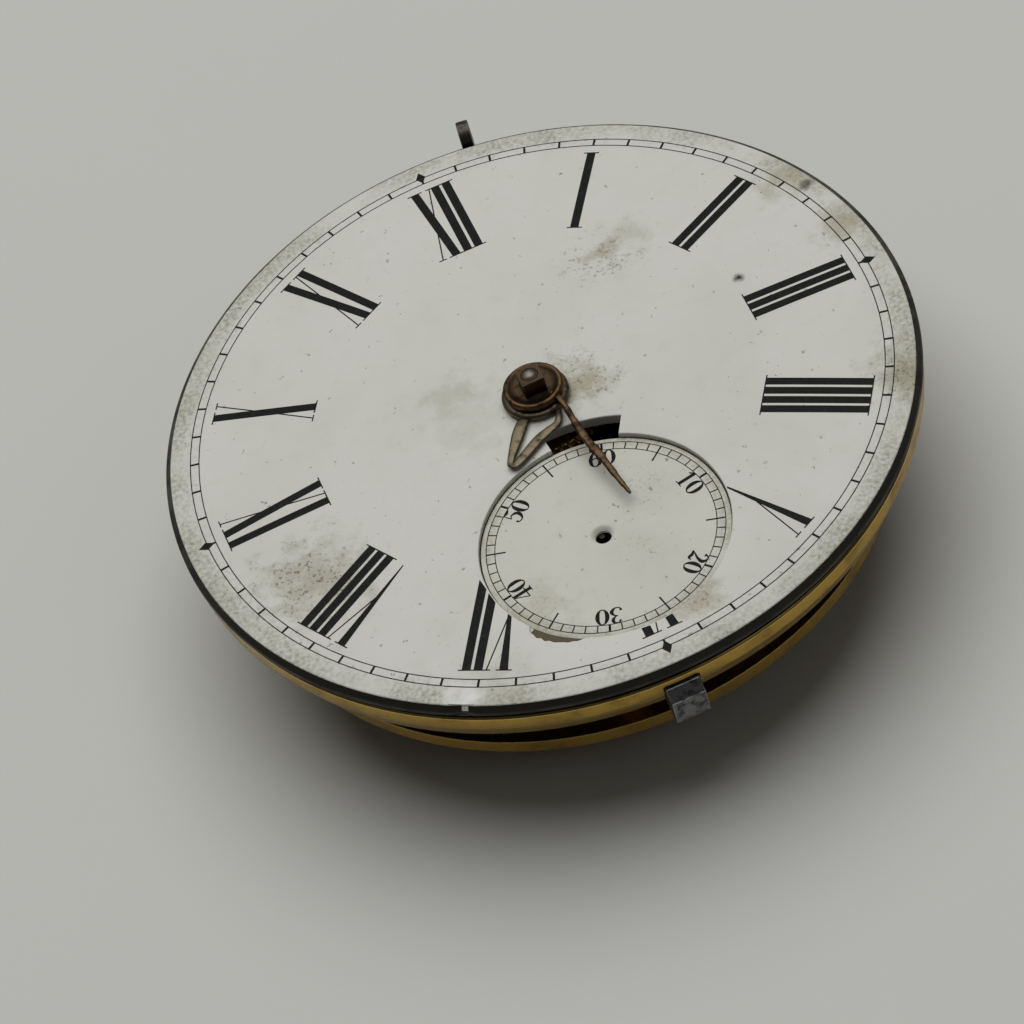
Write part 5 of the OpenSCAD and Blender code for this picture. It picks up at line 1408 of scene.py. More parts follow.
@dataclass(frozen=True)
class Numerals:
    """The twelve Roman hours, with thick strokes, hairlines and fine serifs."""

    thick: float = 0.49
    hair: float = 0.075
    hair_lift: float = 0.008
    serif_h: float = 0.07
    serif_lift: float = 0.010
    overhang: float = 0.2
    x_thick: Point = (0.0, 0.55)
    x_hair: Point = (0.9, -0.3)
    v_thick: Point = (0.0, 0.4)
    v_hair: Point = (0.97, 0.33)
    v_tip: float = 0.06
    v_ends: Point = (12.9, 15.4)
    room: float = 0.06
    step: float = 0.6
    least: float = 0.02
    tries: int = 120

    def serif(self, u: float, w: float, at_top: bool) -> Stroke:
        """A fine bar across the end of a stroke.

        Args:
            u: Middle of the stroke's end.
            w: Width of the stroke there.
            at_top: Whether it is the outer end.

        Returns:
            The bar as a short stroke.
        """
        v = NUMERAL_TOP if at_top else NUMERAL_FOOT + self.serif_h
        wide = w + 2 * self.overhang
        return Stroke(u, u, wide, wide, v, v - self.serif_h, self.serif_lift)

    def letter(self, sign: str) -> list[Stroke]:
        """The strokes of a letter, with its first thick stroke at 0.

        Args:
            sign: I, V or X.

        Returns:
            Its strokes.
        """
        thick, hair = self.thick, self.hair
        if sign == "I":
            return [Stroke(0, 0, thick, thick), self.serif(0, thick, True),
                    self.serif(0, thick, False)]
        if sign == "X":
            return [Stroke(*self.x_thick, thick, thick),
                    Stroke(*self.x_hair, hair, hair, lift=self.hair_lift),
                    self.serif(self.x_thick[0], thick, True),
                    self.serif(self.x_thick[1], thick, False),
                    self.serif(self.x_hair[0], hair, True), self.serif(self.x_hair[1], hair, False)]
        return [Stroke(*self.v_thick, thick, self.v_tip, bottom_v=self.v_ends[0]),
                Stroke(*self.v_hair, hair, hair, bottom_v=self.v_ends[1], lift=self.hair_lift),
                self.serif(self.v_thick[0], thick, True), self.serif(self.v_hair[0], hair, True)]

    def clip(self, inner: Point, outer: Point, angle: float) -> Point:
        """Moves the inner end of a stroke's edge out of the seconds opening.

        Args:
            inner: Tangent place and radius of the inner end.
            outer: The same of the outer end.
            angle: The hour's clockwise angle in degrees.

        Returns:
            The inner end that is left.
        """
        for t in spaced(0, 1, self.tries):
            place = lerp(inner[0], outer[0], t), lerp(inner[1], outer[1], t)
            if not DIAL.is_open(*clock_point(*place, angle), self.room):
                return place
        return outer

    def draw(self, form: Form, stroke: Stroke, shift: float, angle: float) -> None:
        """Draws one stroke as a thin closed ribbon.

        Args:
            form: The print's form.
            stroke: The stroke.
            shift: Place of its letter along the tangent.
            angle: The hour's clockwise angle in degrees.
        """
        edges = []
        count = max(1, round(abs(stroke.top_v - stroke.bottom_v) / self.step))
        for side in (-0.5, 0.5):
            outer = shift + stroke.top + side * stroke.top_w, stroke.top_v
            if DIAL.is_open(*clock_point(*outer, angle), self.room):
                return
            inner = shift + stroke.bottom + side * stroke.bottom_w, stroke.bottom_v
            inner = self.clip(inner, outer, angle)
            places = zip(spaced(outer[0], inner[0], count), spaced(outer[1], inner[1], count))
            edges.append([clock_point(u, v, angle) for u, v in places])
        if any(math.dist(edge[0], edge[-1]) > self.least for edge in edges):
            form.ribbon(*edges, DIAL.height, stroke.lift)

    def build(self) -> bpy.types.Object:
        """Builds all the hours.

        Returns:
            The print as one object.
        """
        form = Form("hour_numerals")
        for hour, (signs, start) in enumerate(ROMAN_HOURS, 1):
            shift = start
            for i, sign in enumerate(signs):
                if i:
                    shift += ADVANCE[signs[i - 1], sign]
                for stroke in self.letter(sign):
                    self.draw(form, stroke, shift, HOUR_ANGLE * hour)
        return form.build([Finish.INK])


def tick(name: str, ends: Point, width: float, height: Height, lift: float) -> Form:
    """A radial mark at the top of a track, about the origin.

    Args:
        name: Name of the mark.
        ends: Radii of its ends.
        width: Its width.
        height: Height of the face at a point.
        lift: Top of the mark above the face.

    Returns:
        The mark.
    """
    form = Form(name)
    left, right = ([(x, y) for y in ends] for x in (-width / 2, width / 2))
    form.ribbon(left, right, height, lift)
    return form


def track_circles(name: str, radii: Point, width: float, count: int, about: Point, height: Height,
                  lift: float) -> bpy.types.Object:
    """The fine circles of a track.

    Args:
        name: Name of the object.
        radii: Radii of the circles.
        width: Width of their lines.
        count: Sides of each circle.
        about: Their centre.
        height: Height of the face at a point.
        lift: Top of the print above the face.

    Returns:
        The circles as one object.
    """
    form = Form(name)
    for r in radii:
        inner, outer = (circle(r + side * width, count, about) for side in (-0.5, 0.5))
        form.ribbon(inner, outer, height, lift, closed=True)
    return form.build([Finish.FINE_INK])


@dataclass(frozen=True)
class MinuteTrack:
    """The ring of minutes: two fine circles, sixty strokes and a diamond at each quarter."""

    radii: Point = (19.35, 19.85)
    line_w: float = 0.06
    line_lift: float = 0.008
    sides: int = 180
    tick_w: float = 0.13
    tick_lift: float = 0.010
    diamond: Point = (0.28, 0.47)
    diamond_out: float = 0.3
    diamond_lift: float = 0.013

    def quarter(self) -> Form:
        """The diamond at XII.

        Returns:
            The mark.
        """
        form = Form("quarter_mark")
        wide, tall = self.diamond
        middle = sum(self.radii) / 2 + self.diamond_out
        corners = (0, middle - tall), (wide, middle), (0, middle + tall), (-wide, middle)
        form.rows([[(*p, DIAL.height(*p) + h) for p in corners]
                   for h in (PRINT_SINK, self.diamond_lift)], caps=True)
        return form

    def build(self) -> list[bpy.types.Object]:
        """Builds the track.

        Returns:
            Its pieces.
        """
        minute = tick("minute_mark", self.radii, self.tick_w, DIAL.height, self.tick_lift)
        return [track_circles("minute_circles", self.radii, self.line_w, self.sides, (0.0, 0.0),
                              DIAL.height, self.line_lift),
                ring_of("minute_marks", minute, Finish.INK, 60),
                ring_of("quarter_marks", self.quarter(), Finish.INK, 4)]


@dataclass(frozen=True)
class DialPrint:
    """The print of the dial: the hours and the minutes."""

    hours: Numerals = Numerals()
    minutes: MinuteTrack = MinuteTrack()

    def build(self) -> None:
        """Builds the print and puts it on the frame."""
        pieces = [self.hours.build(), *self.minutes.build()]
        seat(merge("dial_print", pieces), "frame", "enamel")


# The seconds dial

Pen = tuple[float, float, float]
DIGITS: dict[str, list[list[Pen]]] = {
    "0": [[(0.32 + 0.24 * math.cos(t), 0.5 + 0.45 * math.sin(t), 0.05 + 0.15 * math.cos(t) ** 2)
           for t in (2 * math.pi * i / 12 for i in range(13))]],
    "1": [[(0.30, 1.0, 0.17), (0.30, 0.5, 0.17), (0.30, 0.0, 0.17)],
          [(0.08, 0.0, 0.05), (0.30, 0.02, 0.05), (0.52, 0.0, 0.05)],
          [(0.06, 0.78, 0.05), (0.16, 0.86, 0.08), (0.27, 0.97, 0.08)]],
    "2": [[(0.12, 0.74, 0.16), (0.15, 0.90, 0.07), (0.34, 0.97, 0.08), (0.52, 0.78, 0.18),
           (0.40, 0.48, 0.12), (0.18, 0.22, 0.07), (0.06, 0.06, 0.06)],
          [(0.06, 0.08, 0.08), (0.30, 0.12, 0.15), (0.50, 0.06, 0.13), (0.60, 0.22, 0.04)]],
    "3": [[(0.10, 0.80, 0.13), (0.20, 0.95, 0.06), (0.40, 0.94, 0.11), (0.48, 0.76, 0.16),
           (0.36, 0.57, 0.07), (0.24, 0.53, 0.05)],
          [(0.24, 0.53, 0.05), (0.42, 0.48, 0.08), (0.54, 0.27, 0.18), (0.38, 0.05, 0.08),
           (0.16, 0.06, 0.06), (0.08, 0.22, 0.14)]],
    "4": [[(0.40, 1.0, 0.05), (0.20, 0.62, 0.05), (0.02, 0.29, 0.05)],
          [(0.02, 0.29, 0.06), (0.34, 0.29, 0.06), (0.66, 0.29, 0.06)],
          [(0.44, 1.0, 0.15), (0.44, 0.5, 0.17), (0.44, 0.0, 0.17)],
          [(0.26, 0.0, 0.05), (0.44, 0.01, 0.05), (0.62, 0.0, 0.05)]],
    "5": [[(0.12, 0.97, 0.05), (0.34, 0.93, 0.14), (0.56, 0.98, 0.06)],
          [(0.13, 0.97, 0.05), (0.12, 0.75, 0.05), (0.12, 0.52, 0.05)],
          [(0.12, 0.52, 0.05), (0.30, 0.63, 0.07), (0.52, 0.50, 0.15), (0.55, 0.28, 0.18),
           (0.38, 0.05, 0.08), (0.15, 0.06, 0.06), (0.08, 0.22, 0.13)]],
    "6": [[(0.53, 0.86, 0.12), (0.42, 0.97, 0.05), (0.22, 0.84, 0.11), (0.10, 0.50, 0.18),
           (0.15, 0.16, 0.14), (0.33, 0.03, 0.06), (0.52, 0.16, 0.14), (0.54, 0.38, 0.16),
           (0.36, 0.56, 0.06), (0.16, 0.44, 0.05)]],
}


@dataclass(frozen=True)
class SecondsDial:
    """The sunk seconds dial with its funnel, track and figures.

    The face gives radii and drops from the hole to the shoulder, and the ticks give the length
    of a mark inside the track and its width.
    """

    face_z: float = 1.048
    back_z: float = 0.708
    seat_z: float = DIAL.seat_z
    rim_r: float = 6.88
    rim_rise: float = 0.005
    flange_r: float = 7.75
    hole_at: Point = (-0.27, -10.86)
    funnel_r: float = 1.0
    face: tuple[Point, ...] = ((0.45, 0.17), (0.52, 0.09), (0.62, 0.03), (0.72, 0.006), (0.85, 0.0),
                               (2.0, 0.0), (4.0, 0.0), (5.5, 0.0), (6.5, 0.0), (6.7, 0.004),
                               (6.81, 0.02))
    sides: int = 180
    sharp: float = 40.0
    turn: float = 19.0
    track: Point = (6.1, 6.58)
    line_w: float = 0.05
    line_lift: float = 0.007
    line_sides: int = 120
    tick_lift: float = 0.009
    second_tick: Point = (0.0, 0.07)
    five_tick: Point = (0.6, 0.09)
    ten_tick: Point = (0.0, 0.13)
    figure_r: float = 4.98
    figure_h: float = 1.12
    figure_lift: float = 0.010
    figure_step: float = 0.68
    figure_nudge: float = 0.02
    pen_steps: int = 5
    thin: float = 0.09
    bold: float = 1.06
    rise: float = 0.05
    slope: float = 0.018
    lean_above: float = 0.003

    def height(self, _x: float, _y: float) -> float:
        """Height of its face, which is built level."""
        return self.face_z

    def lean(self, piece: bpy.types.Object) -> bpy.types.Object:
        """Leans a piece of the seconds dial along the crown of the main dial.

        Args:
            piece: The piece, built level.

        Returns:
            The same piece.
        """
        for vertex in piece.data.vertices:
            if vertex.co.z > (self.seat_z + self.lean_above) * MM:
                vertex.co.z += self.rise * MM + self.slope * (vertex.co.y - SECONDS_AT[1] * MM)
        return piece

    def ring(self, r: float, z: float, flange: bool = False) -> list[Point3]:
        """One ring of the disc, drawn in at the window if it belongs to the flange.

        Args:
            r: Its radius.
            z: Its height.
            flange: Whether it belongs to the flange.

        Returns:
            The ring's points.
        """
        start, end = DIAL.window
        centre = self.hole_at if r < self.funnel_r else SECONDS_AT
        return [(*polar(self.rim_r if flange and start <= a <= end else r, a, centre), z)
                for a in spaced(0, 360, self.sides)[:-1]]

    def plate(self) -> bpy.types.Object:
        """Builds the disc, with its flange left out in the window.

        Returns:
            The disc.
        """
        form = Form("seconds_plate")
        rows = [self.ring(self.face[0][0], self.back_z),
                *(self.ring(r, self.face_z - drop) for r, drop in self.face),
                self.ring(self.rim_r, self.seat_z + self.rim_rise)]
        flange = [self.ring(self.flange_r, z, True) for z in (self.seat_z, self.back_z)]
        form.rows(rows, 0)
        form.rows([rows[-1], *flange, rows[0]], 1)
        return form.build([Finish.SECONDS_ENAMEL, Finish.DARK_EDGE], self.sharp)

    def figures(self) -> bpy.types.Object:
        """Builds the figures from 10 to 60, with their tops outward.

        Returns:
            The figures as one object.
        """
        form = Form("seconds_figures")
        for ten in range(1, 7):
            for place, sign in enumerate(str(10 * ten)):
                shift = (place - 1) * self.figure_step + self.figure_nudge
                for line in DIGITS[sign]:
                    self.pen(form, line, shift, self.turn + TEN_SECONDS * ten)
        return form.build([Finish.INK])

    def pen(self, form: Form, line: Sequence[Pen], shift: float, angle: float) -> None:
        """Draws one pen line of a figure.

        Args:
            form: The figures' form.
            line: Points of place across, height and width, in figure heights.
            shift: Place of the figure across, in figure heights.
            angle: Clockwise angle of the figure, in degrees.
        """
        points = [(x, y, w * self.bold if w > self.thin else w)
                  for x, y, w in smooth_line(line, self.pen_steps)]
        left, right = [], []
        for i, (x, y, w) in enumerate(points):
            a, b = points[max(i - 1, 0)], points[min(i + 1, len(points) - 1)]
            dx, dy = b[0] - a[0], b[1] - a[1]
            size = math.hypot(dx, dy) or 1.0
            for side, edge in ((0.5, left), (-0.5, right)):
                u = (x + shift - side * w * dy / size) * self.figure_h
                v = self.figure_r + (y + side * w * dx / size) * self.figure_h
                edge.append(clock_point(u, v, angle, SECONDS_AT))
        form.ribbon(left, right, self.height, self.figure_lift)

    def marks(self, name: str, mark: str, size: Point, finish: Finish, count: int,
              turn: float) -> bpy.types.Object:
        """Builds a ring of radial marks on the track.

        Args:
            name: Name of the ring.
            mark: Name of one mark.
            size: Its length inside the track and its width.
            finish: Its finish.
            count: Number of marks.
            turn: Clockwise turn of the first.

        Returns:
            The ring.
        """
        (low, high), (inward, width) = self.track, size
        form = tick(mark, (low - inward, high), width, self.height, self.tick_lift)
        return ring_of(name, form, finish, count, SECONDS_AT, turn)

    def build(self) -> None:
        """Builds the seconds dial and its print and puts them on the frame."""
        seat(self.lean(self.plate()), "frame", "enamel", "seconds_dial")
        pieces = [
            track_circles("seconds_circles", self.track, self.line_w, self.line_sides, SECONDS_AT,
                          self.height, self.line_lift),
            self.marks("seconds_marks", "second_mark", self.second_tick, Finish.FINE_INK, 60,
                       self.turn),
            self.marks("seconds_tens", "ten_mark", self.ten_tick, Finish.INK, 6, self.turn),
            self.marks("seconds_fives", "five_mark", self.five_tick, Finish.INK, 6,
                       self.turn + TEN_SECONDS / 2),
            self.figures(),
        ]
        seat(self.lean(merge("seconds_print", pieces)), "frame", "enamel")


# Hands

Spine = tuple[tuple[float, float, float, float], ...]
COLLET_SIDES = 64
ROD_SIDES = 12
ROD_STEPS = 6
HAND_SHARP = 50.0


@dataclass(frozen=True)
class HourHand:
    """The hour hand, broken off short: a collet with a bent loop of two thin legs.

    The collet gives radii and heights, and a leg gives places, lifts and half widths.
    """

    z: float = 1.68
    collet: tuple[Point, ...] = ((1.43, 0.0), (1.82, 0.0), (1.9, 0.08), (1.9, 0.22), (1.78, 0.33),
                                 (1.55, 0.39), (1.43, 0.4))
    leg_z: float = 0.08
    leg_half: float = 0.078
    legs: tuple[Spine, Spine] = (
        ((-0.95, -1.2, 0.0, 0.24), (-1.4, -1.6, 0.0, 0.34), (-1.85, -2.2, 0.02, 0.36),
         (-2.25, -2.8, 0.03, 0.31), (-2.7, -3.5, 0.03, 0.23), (-3.0, -4.05, 0.03, 0.19),
         (-3.04, -4.28, 0.03, 0.12)),
        ((-3.04, -4.28, 0.03, 0.12), (-2.68, -4.26, 0.03, 0.24), (-1.82, -3.72, 0.03, 0.3),
         (-1.0, -3.2, 0.03, 0.31), (-0.32, -2.92, 0.03, 0.27), (0.36, -2.6, 0.03, 0.21),
         (0.8, -1.5, 0.0, 0.16)))

    def build(self) -> None:
        """Builds the hand and puts it on the hour wheel."""
        form = Form("hour_loop")
        form.lathe([(r, self.z + h) for r, h in self.collet], (0, 0), COLLET_SIDES)
        for leg in self.legs:
            line = [(x, y, self.z + self.leg_z + lift, w, self.leg_half) for x, y, lift, w in leg]
            form.sweep(smooth_line(line, ROD_STEPS), ROD_SIDES)
        seat(form.build([Finish.BRONZE], HAND_SHARP), "hour_body", "hour_bronze", "hour_hand")


@dataclass(frozen=True)
class MinuteHand:
    """The minute hand, broken off short: a dished collet on the square, and a lumpy stump.

    The rim and the dish give radii and heights, the spine places, lifts and half widths, and
    the lumps their heights, how fast they follow each other, and where they start.
    """

    z: float = 2.18
    rim: tuple[Point, ...] = ((0.66, 0.0), (1.6, 0.0), (1.7, 0.09), (1.7, 0.30), (1.62, 0.40),
                              (1.48, 0.42))
    dish: tuple[Point, ...] = ((1.48, 0.42), (1.36, 0.34), (1.15, 0.22), (0.9, 0.19), (0.66, 0.24),
                               (0.66, 0.0))
    spine: Spine = (
        (0.75, -0.95, 0.14, 0.22), (0.95, -1.48, 0.15, 0.23), (1.06, -2.2, 0.14, 0.21),
        (1.12, -3.36, 0.1, 0.23), (1.2, -4.58, 0.04, 0.28), (1.3, -5.3, 0.0, 0.25),
        (1.4, -5.85, -0.03, 0.33), (1.55, -6.6, -0.1, 0.27), (1.78, -8.1, -0.24, 0.2),
        (1.94, -9.0, -0.32, 0.15), (2.03, -9.5, -0.36, 0.1))
    thick_half: float = 0.15
    thin_half: float = 0.12
    thin_w: float = 0.15
    slim: float = 0.84
    lumps: tuple[Point3, ...] = ((0.09, 5.1, 0.0), (0.05, 2.3, 1.0))

    def uneven(self, i: int) -> float:
        """How wide the stump is at a step along it, as a share."""
        return self.slim * (1 + sum(h * math.sin(pace * i + at) for h, pace, at in self.lumps))

    def build(self) -> None:
        """Builds the hand and puts it on the setting square."""
        form = Form("minute_stump")
        for mark, profile in enumerate((self.rim, self.dish)):
            form.lathe([(r, self.z + h) for r, h in profile], (0, 0), COLLET_SIDES, mark,
                       closed=False)
        line = smooth_line([(x, y, self.z + h, w,
                             self.thick_half if w > self.thin_w else self.thin_half)
                            for x, y, h, w in self.spine], ROD_STEPS)
        form.sweep([(x, y, h, w * self.uneven(i), half)
                    for i, (x, y, h, w, half) in enumerate(line)], ROD_SIDES, mark=2)
        seat(form.build([Finish.RUST_RIM, Finish.BROWN_STEEL, Finish.COPPER], HAND_SHARP),
             "setting_body", "minute_copper", "minute_hand")


# The fusee chain


@dataclass(frozen=True)
class Chain:
    """The riveted chain: turns on the barrel, and the run to the fusee, as in the solids."""

    width: float = 0.28
    depth: float = 0.22
    link: float = 0.62
    reach: float = 1.02
    shoulder: float = 0.8
    waist: float = 0.26
    layers: int = 5
    inner_room: float = 0.03
    rivet_at: float = 0.75
    rivet_r: float = 0.055
    rivet_sides: int = 6
    barrel: Point = (-7.354, 6.171)
    fusee: Point = (8.346, 2.236)
    barrel_r: float = 7.2107
    fusee_r: float = 5.67
    run_z: float = -3.10
    coil_z: float = -3.53
    rise: float = 0.72
    turns: float = 3.2
    hook: float = 70.0

    def heading(self) -> float:
        """Angle of the straight run, which touches the barrel and the fusee on one side.

        Returns:
            The angle in degrees.
        """
        (ax, ay), (bx, by) = self.barrel, self.fusee
        lean = math.asin((self.barrel_r - self.fusee_r) / math.dist(self.barrel, self.fusee))
        return math.degrees(math.atan2(by - ay, bx - ax)) - math.degrees(lean)

    def plate(self, form: Form, shift: float, low: float, high: float) -> None:
        """Adds one plate with a waist to a link.

        Args:
            form: The link's form.
            shift: Its place along the chain.
            low: Height of its underside.
            high: Height of its top.
        """
        half = self.link / 2
        end, shoulder = (half * self.reach, 0.0), (half * self.shoulder, self.depth / 2)
        top = [(-end[0], 0.0), (-shoulder[0], shoulder[1]), (0.0, self.depth * self.waist),
               shoulder, end]
        outline = top + [(x, -y) for x, y in top[3:0:-1]]
        form.rows([[(x + shift, y, z) for x, y in outline] for z in (low, high)], caps=True)

    def pattern(self) -> bpy.types.Object:
        """One link: two outer plates, an inner plate half a step on, and two rivets.

        Returns:
            The pattern object, along +X.
        """
        form = Form("chain_link")
        half, thick, side = self.link / 2, self.width / self.layers, self.width / 2
        inner = thick / 2 + self.inner_room
        for shift, low, high in ((0.0, -side, -side + thick), (0.0, side - thick, side),
                                 (half, -inner, inner)):
            self.plate(form, shift, low, high)
        rivet = [(0.0, -side), (self.rivet_r, -side), (self.rivet_r, side), (0.0, side)]
        for x in (-half * self.rivet_at, half * self.rivet_at):
            form.lathe(rivet, (x, 0.0), self.rivet_sides, closed=False)
        return form.build([Finish.CHAIN])

    def lay(self, name: str, body: str, places: Sequence[tuple[Point3, float]], node: str) -> None:
        """Lays links along a path.

        Args:
            name: Name of the piece.
            body: Body that it moves with.
            places: Middle and heading in degrees of each link.
            node: Node that it stands for.
        """
        base = bpy.data.meshes.new(name + "_path")
        base.from_pydata([tuple(c * MM for c in p) for p, _ in places], [], [])
        aim = base.attributes.new("aim", "FLOAT_VECTOR", "POINT")
        for i, (_, heading) in enumerate(places):
            aim.data[i].vector = (0.0, 0.0, math.radians(heading))
        pattern = self.pattern()
        made = bake(name, base, geometry_tree("links_on_path", LINK_INPUTS, draw_links),
                    {"Link": pattern, "Finish": Finish.CHAIN.material()})
        bpy.data.objects.remove(pattern)
        seat(made, body, "chain_steel", node)

    def coil(self) -> list[tuple[Point3, float]]:
        """Places of the links on the barrel.

        Returns:
            Middle and heading of each link.
        """
        side = self.heading() + 90
        count = int(self.turns * 2 * math.pi * self.barrel_r / self.link)
        out = []
        for i in range(count):
            turn = 360 * self.turns * (i + 0.5) / count
            at = polar(self.barrel_r, side + turn, self.barrel)
            out.append(((*at, self.coil_z - self.rise * turn / 360), side + turn + 90))
        return out

    def run(self) -> list[tuple[Point3, float]]:
        """Places of the links from the barrel to the fusee and round it to the hook.

        Returns:
            Middle and heading of each link.
        """
        heading = self.heading()
        side = heading + 90
        start = polar(self.barrel_r, side, self.barrel)
        end = polar(self.fusee_r, side, self.fusee)
        count = int(math.dist(start, end) / self.link)
        out = []
        for i in range(count):
            x, y = (lerp(a, b, (i + 0.5) / count) for a, b in zip(start, end))
            out.append(((x, y, self.run_z), heading))
        count = int(self.fusee_r * math.radians(self.hook) / self.link)
        for i in range(count):
            angle = side - self.hook * (i + 0.5) / count
            out.append(((*polar(self.fusee_r, angle, self.fusee), self.run_z), angle - 90))
        return out

    def build(self) -> None:
        """Builds the turns and the run."""
        self.lay("chain_turns", "barrel_body", self.coil(), "chain_coils")
        self.lay("chain_span", "frame", self.run(), "chain_run")


# Every other node

BEVEL_SEGMENTS = 2
SAME_HEIGHT = 0.001


@dataclass(frozen=True)
class Bend:
    """A blade that one body holds and another pushes, and the two ends of its bend."""

    held: str
    pushed: str
    start: Point3
    end: Point3


BENDS = {"bolt_spring": Bend("frame", "bolt_body", (-6.0, -10.8, -0.9), (-1.4, -12.43, -0.9))}


@dataclass(frozen=True)
class Dress:
    """How a node is finished: its face, its worn edges, its bevels and its running room.

    The shoulder gives a height and the height that points there are moved to.
    """

    face: Finish
    edge: Finish
    bevel: float = 0.03
    sharp: float = 32.0
    shrink: float = 0.0
    shoulder: Optional[Point] = None

    def copy(self, source: bpy.types.Mesh, name: str) -> bpy.types.Mesh:
        """Copies a mesh, cleans it and gives it its finishes and its running room.

        Args:
            source: The node's mesh.
            name: Name of the copy.

        Returns:
            The copy.
        """
        mesh = source.copy()
        mesh.name = name
        mesh.materials.clear()
        for finish in (self.face, self.edge):
            mesh.materials.append(finish.material())
        for polygon in mesh.polygons:
            polygon.material_index = 0
        if self.shoulder:
            low, high = self.shoulder
            for vertex in mesh.vertices:
                if abs(vertex.co.z / MM - low) < SAME_HEIGHT:
                    vertex.co.z = high * MM
        clean(mesh, self.sharp, dissolve=True)
        if self.shrink:
            outward = [vertex.normal.copy() for vertex in mesh.vertices]
            for vertex, normal in zip(mesh.vertices, outward):
                vertex.co -= normal * self.shrink * MM
        return mesh

    def wear(self, piece: bpy.types.Object) -> None:
        """Bevels the edges of a piece and gives the bevels their own finish.

        Args:
            piece: The piece.
        """
        bevel = piece.modifiers.new("worn_edges", "BEVEL")
        bevel.width = self.bevel * MM
        bevel.segments = BEVEL_SEGMENTS
        bevel.limit_method = "ANGLE"
        bevel.angle_limit = math.radians(self.sharp)
        bevel.material = 1
        bevel.harden_normals = True

    def apply(self, node: str) -> None:
        """Puts a finished copy in a node's place.

        Args:
            node: Name of the node.
        """
        source = frame["nodes"][node]
        name = node + "_dressed"
        made = put(name, self.copy(source.data, name))
        self.wear(made)
        slots = {part["node"]: part["material_slot"] for part in frame["record"]["subparts"]}
        bend = BENDS.get(node)
        if bend is None:
            seat(made, source["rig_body"], slots[node], node)
            return
        graph = bpy.context.evaluated_depsgraph_get()
        made.data = bpy.data.meshes.new_from_object(made.evaluated_get(graph))
        made.modifiers.clear()
        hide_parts(node)
        Vector(bend.start) * MM
        Vector(bend.end) * MM
        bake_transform(made)
        LOG.info("%s bends from %s to %s", name, bend.held, bend.pushed)


GILT = Dress(Finish.GILT, Finish.GILT_EDGE, 0.05)
WHEEL = Dress(Finish.BRASS, Finish.BRASS_EDGE, 0.018)
STEEL = Dress(Finish.STEEL, Finish.STEEL_EDGE, 0.02)
BLUED = Dress(Finish.BLUED, Finish.BLUED_EDGE)
SPRING = Dress(Finish.BLUED, Finish.BLUED_EDGE, 0.012)
RUBY = Dress(Finish.RUBY, Finish.RUBY)
ARBOR = Dress(Finish.ARBOR_END, Finish.BROWN_EDGE, 0.02)

DRESSES: dict[str, Dress] = {
    **dict.fromkeys(("brass_edge", "pillar_plate", "top_plate", "pillars", "barrel_bar",
                     "balance_cock", "potence"), GILT),
    **dict.fromkeys(("great_wheel", "centre_wheel", "third_wheel", "fourth_wheel", "escape_wheel",
                     "hour_wheel", "barrel", "barrel_cover", "fusee", "dial_pins",
                     "banking_pins"), WHEEL),
    "balance_wheel": Dress(Finish.GOLD, Finish.GILT_EDGE, 0.05),
    **dict.fromkeys(("pillar_pins", "barrel_arbor", "setup_ratchet", "setup_click",
                     "maintaining_ratchet", "maintaining_detent", "fusee_stop_arm", "third_arbor",
                     "escape_arbor", "lever", "pallets", "pallet_arbor", "roller", "balance_staff",
                     "spring_stud", "regulator", "minute_post", "endstone_cap"), STEEL),
    **dict.fromkeys(("front_screws", "back_screws", "endstone_screws"), BLUED),
    **dict.fromkeys(("mainspring", "balance_spring", "bolt_spring"), SPRING),
    "bolt": Dress(Finish.WORN_STEEL, Finish.WORN_EDGE, 0.05),
    "joint": Dress(Finish.DARK_STEEL, Finish.WORN_STEEL, 0.05),
    "cannon_pinion": Dress(Finish.BROWN_STEEL, Finish.BROWN_EDGE, 0.06, shoulder=(-0.4, -0.3)),
    "minute_wheel": Dress(Finish.BRASS, Finish.BRASS_EDGE, 0.018, shrink=0.02),
    **dict.fromkeys(("centre_arbor", "fourth_arbor"), ARBOR),
    **dict.fromkeys(("jewels", "impulse_pin"), RUBY),
    "pallet_stones": Dress(Finish.RUBY, Finish.RUBY, shrink=0.06),
}


# Stage


@dataclass(frozen=True)
class Lamp:
    """A soft round lamp that shines on the movement: place and width in millimetres, watts."""

    name: str
    at: Point3
    size: float
    power: float
    colour: Colour

    def hang(self) -> None:
        """Hangs the lamp."""
        data = bpy.data.lights.new(self.name, "AREA")
        data.shape = "DISK"
        data.size = self.size * MM
        data.energy = self.power
        data.color = self.colour
        lamp = put(self.name, data)
        lamp.location = Vector(self.at) * MM
        lamp.rotation_euler = (-Vector(self.at)).to_track_quat("-Z", "Y").to_euler()


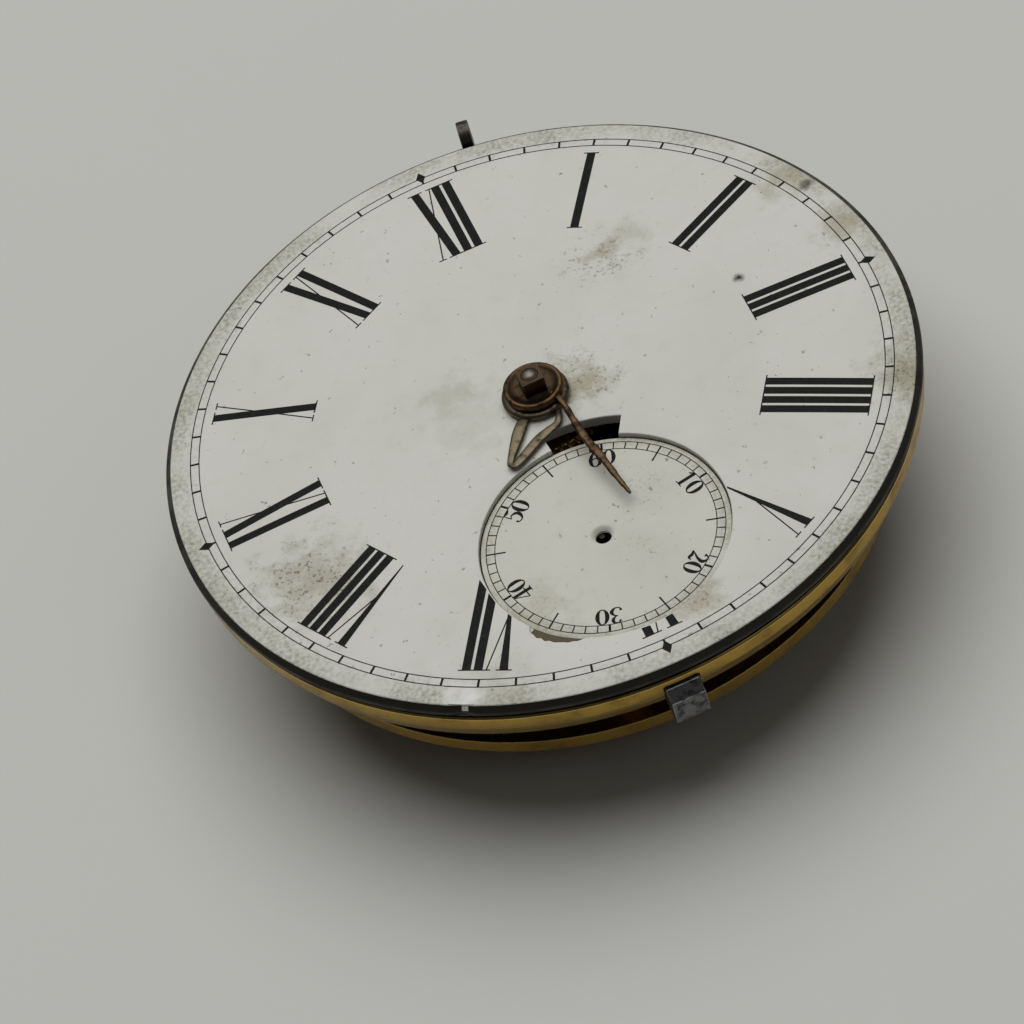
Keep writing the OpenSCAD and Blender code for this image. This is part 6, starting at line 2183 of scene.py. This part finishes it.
@dataclass(frozen=True)
class Stage:
    """The floor, the light and the camera, which was fitted to the photograph."""

    floor_half: float = 600.0
    sky: tuple[float, ...] = (0.93, 0.96, 1.0, 1.0)
    sky_strength: float = 0.05
    lamps: tuple[Lamp, ...] = (
        Lamp("window_lamp", (60.0, 380.0, 910.0), 1300.0, 8.3, (1.0, 0.99, 0.965)),
        Lamp("front_lamp", (400.0, -600.0, 700.0), 400.0, 0.2, (0.96, 0.98, 1.0)))
    sensor: float = 36.0
    lens: float = 195.8
    clip_start: float = 0.01
    eye: Point3 = (-24.66, -209.31, 224.04)
    right: Point3 = (0.914732, -0.337488, -0.222186)
    down: Point3 = (-0.398264, -0.660257, -0.636747)
    ahead: Point3 = (0.068194, 0.670942, -0.738367)

    def floor(self) -> None:
        """Lays the floor under the lowest point of the movement."""
        form = Form("floor")
        low, half = CAD_BOX[0][2] / MM, self.floor_half
        form.add([(x, y, low) for x, y in ((-half, -half), (half, -half), (half, half),
                                           (-half, half))], [(0, 1, 2, 3)])
        floor = form.build([Finish.FLOOR])

    def light(self) -> None:
        """Sets the even sky and the lamps."""
        world = bpy.data.worlds.new("studio")
        world.use_nodes = True
        sky = next(n for n in world.node_tree.nodes if n.type == "BACKGROUND")
        sky.inputs["Color"].default_value = self.sky
        sky.inputs["Strength"].default_value = self.sky_strength
        bpy.context.scene.world = world
        for lamp in self.lamps:
            lamp.hang()

    def camera(self) -> None:
        """Sets the camera where the photograph was taken from."""
        data = bpy.data.cameras.new("photo_camera")
        data.sensor_width = self.sensor
        data.lens = self.lens
        data.clip_start = self.clip_start
        made = put("photo_camera", data)
        rows = [(r, -d, -a, e * MM)
                for r, d, a, e in zip(self.right, self.down, self.ahead, self.eye)]
        made.matrix_world = Matrix((*rows, (0.0, 0.0, 0.0, 1.0)))
        bpy.context.scene.camera = made

    def build(self) -> None:
        """Sets the stage."""
        bpy.context.scene.view_settings.view_transform = "Standard"
        self.floor()
        self.light()
        self.camera()


def main() -> None:
    """Builds the stage and the movement in order."""
    for part in (Stage(), DIAL, DialPrint(), SecondsDial(), HourHand(), MinuteHand(), Chain()):
        part.build()
    for node, how in DRESSES.items():
        how.apply(node)


if __name__ == "__main__":
    logging.basicConfig(level=logging.INFO)
    main()
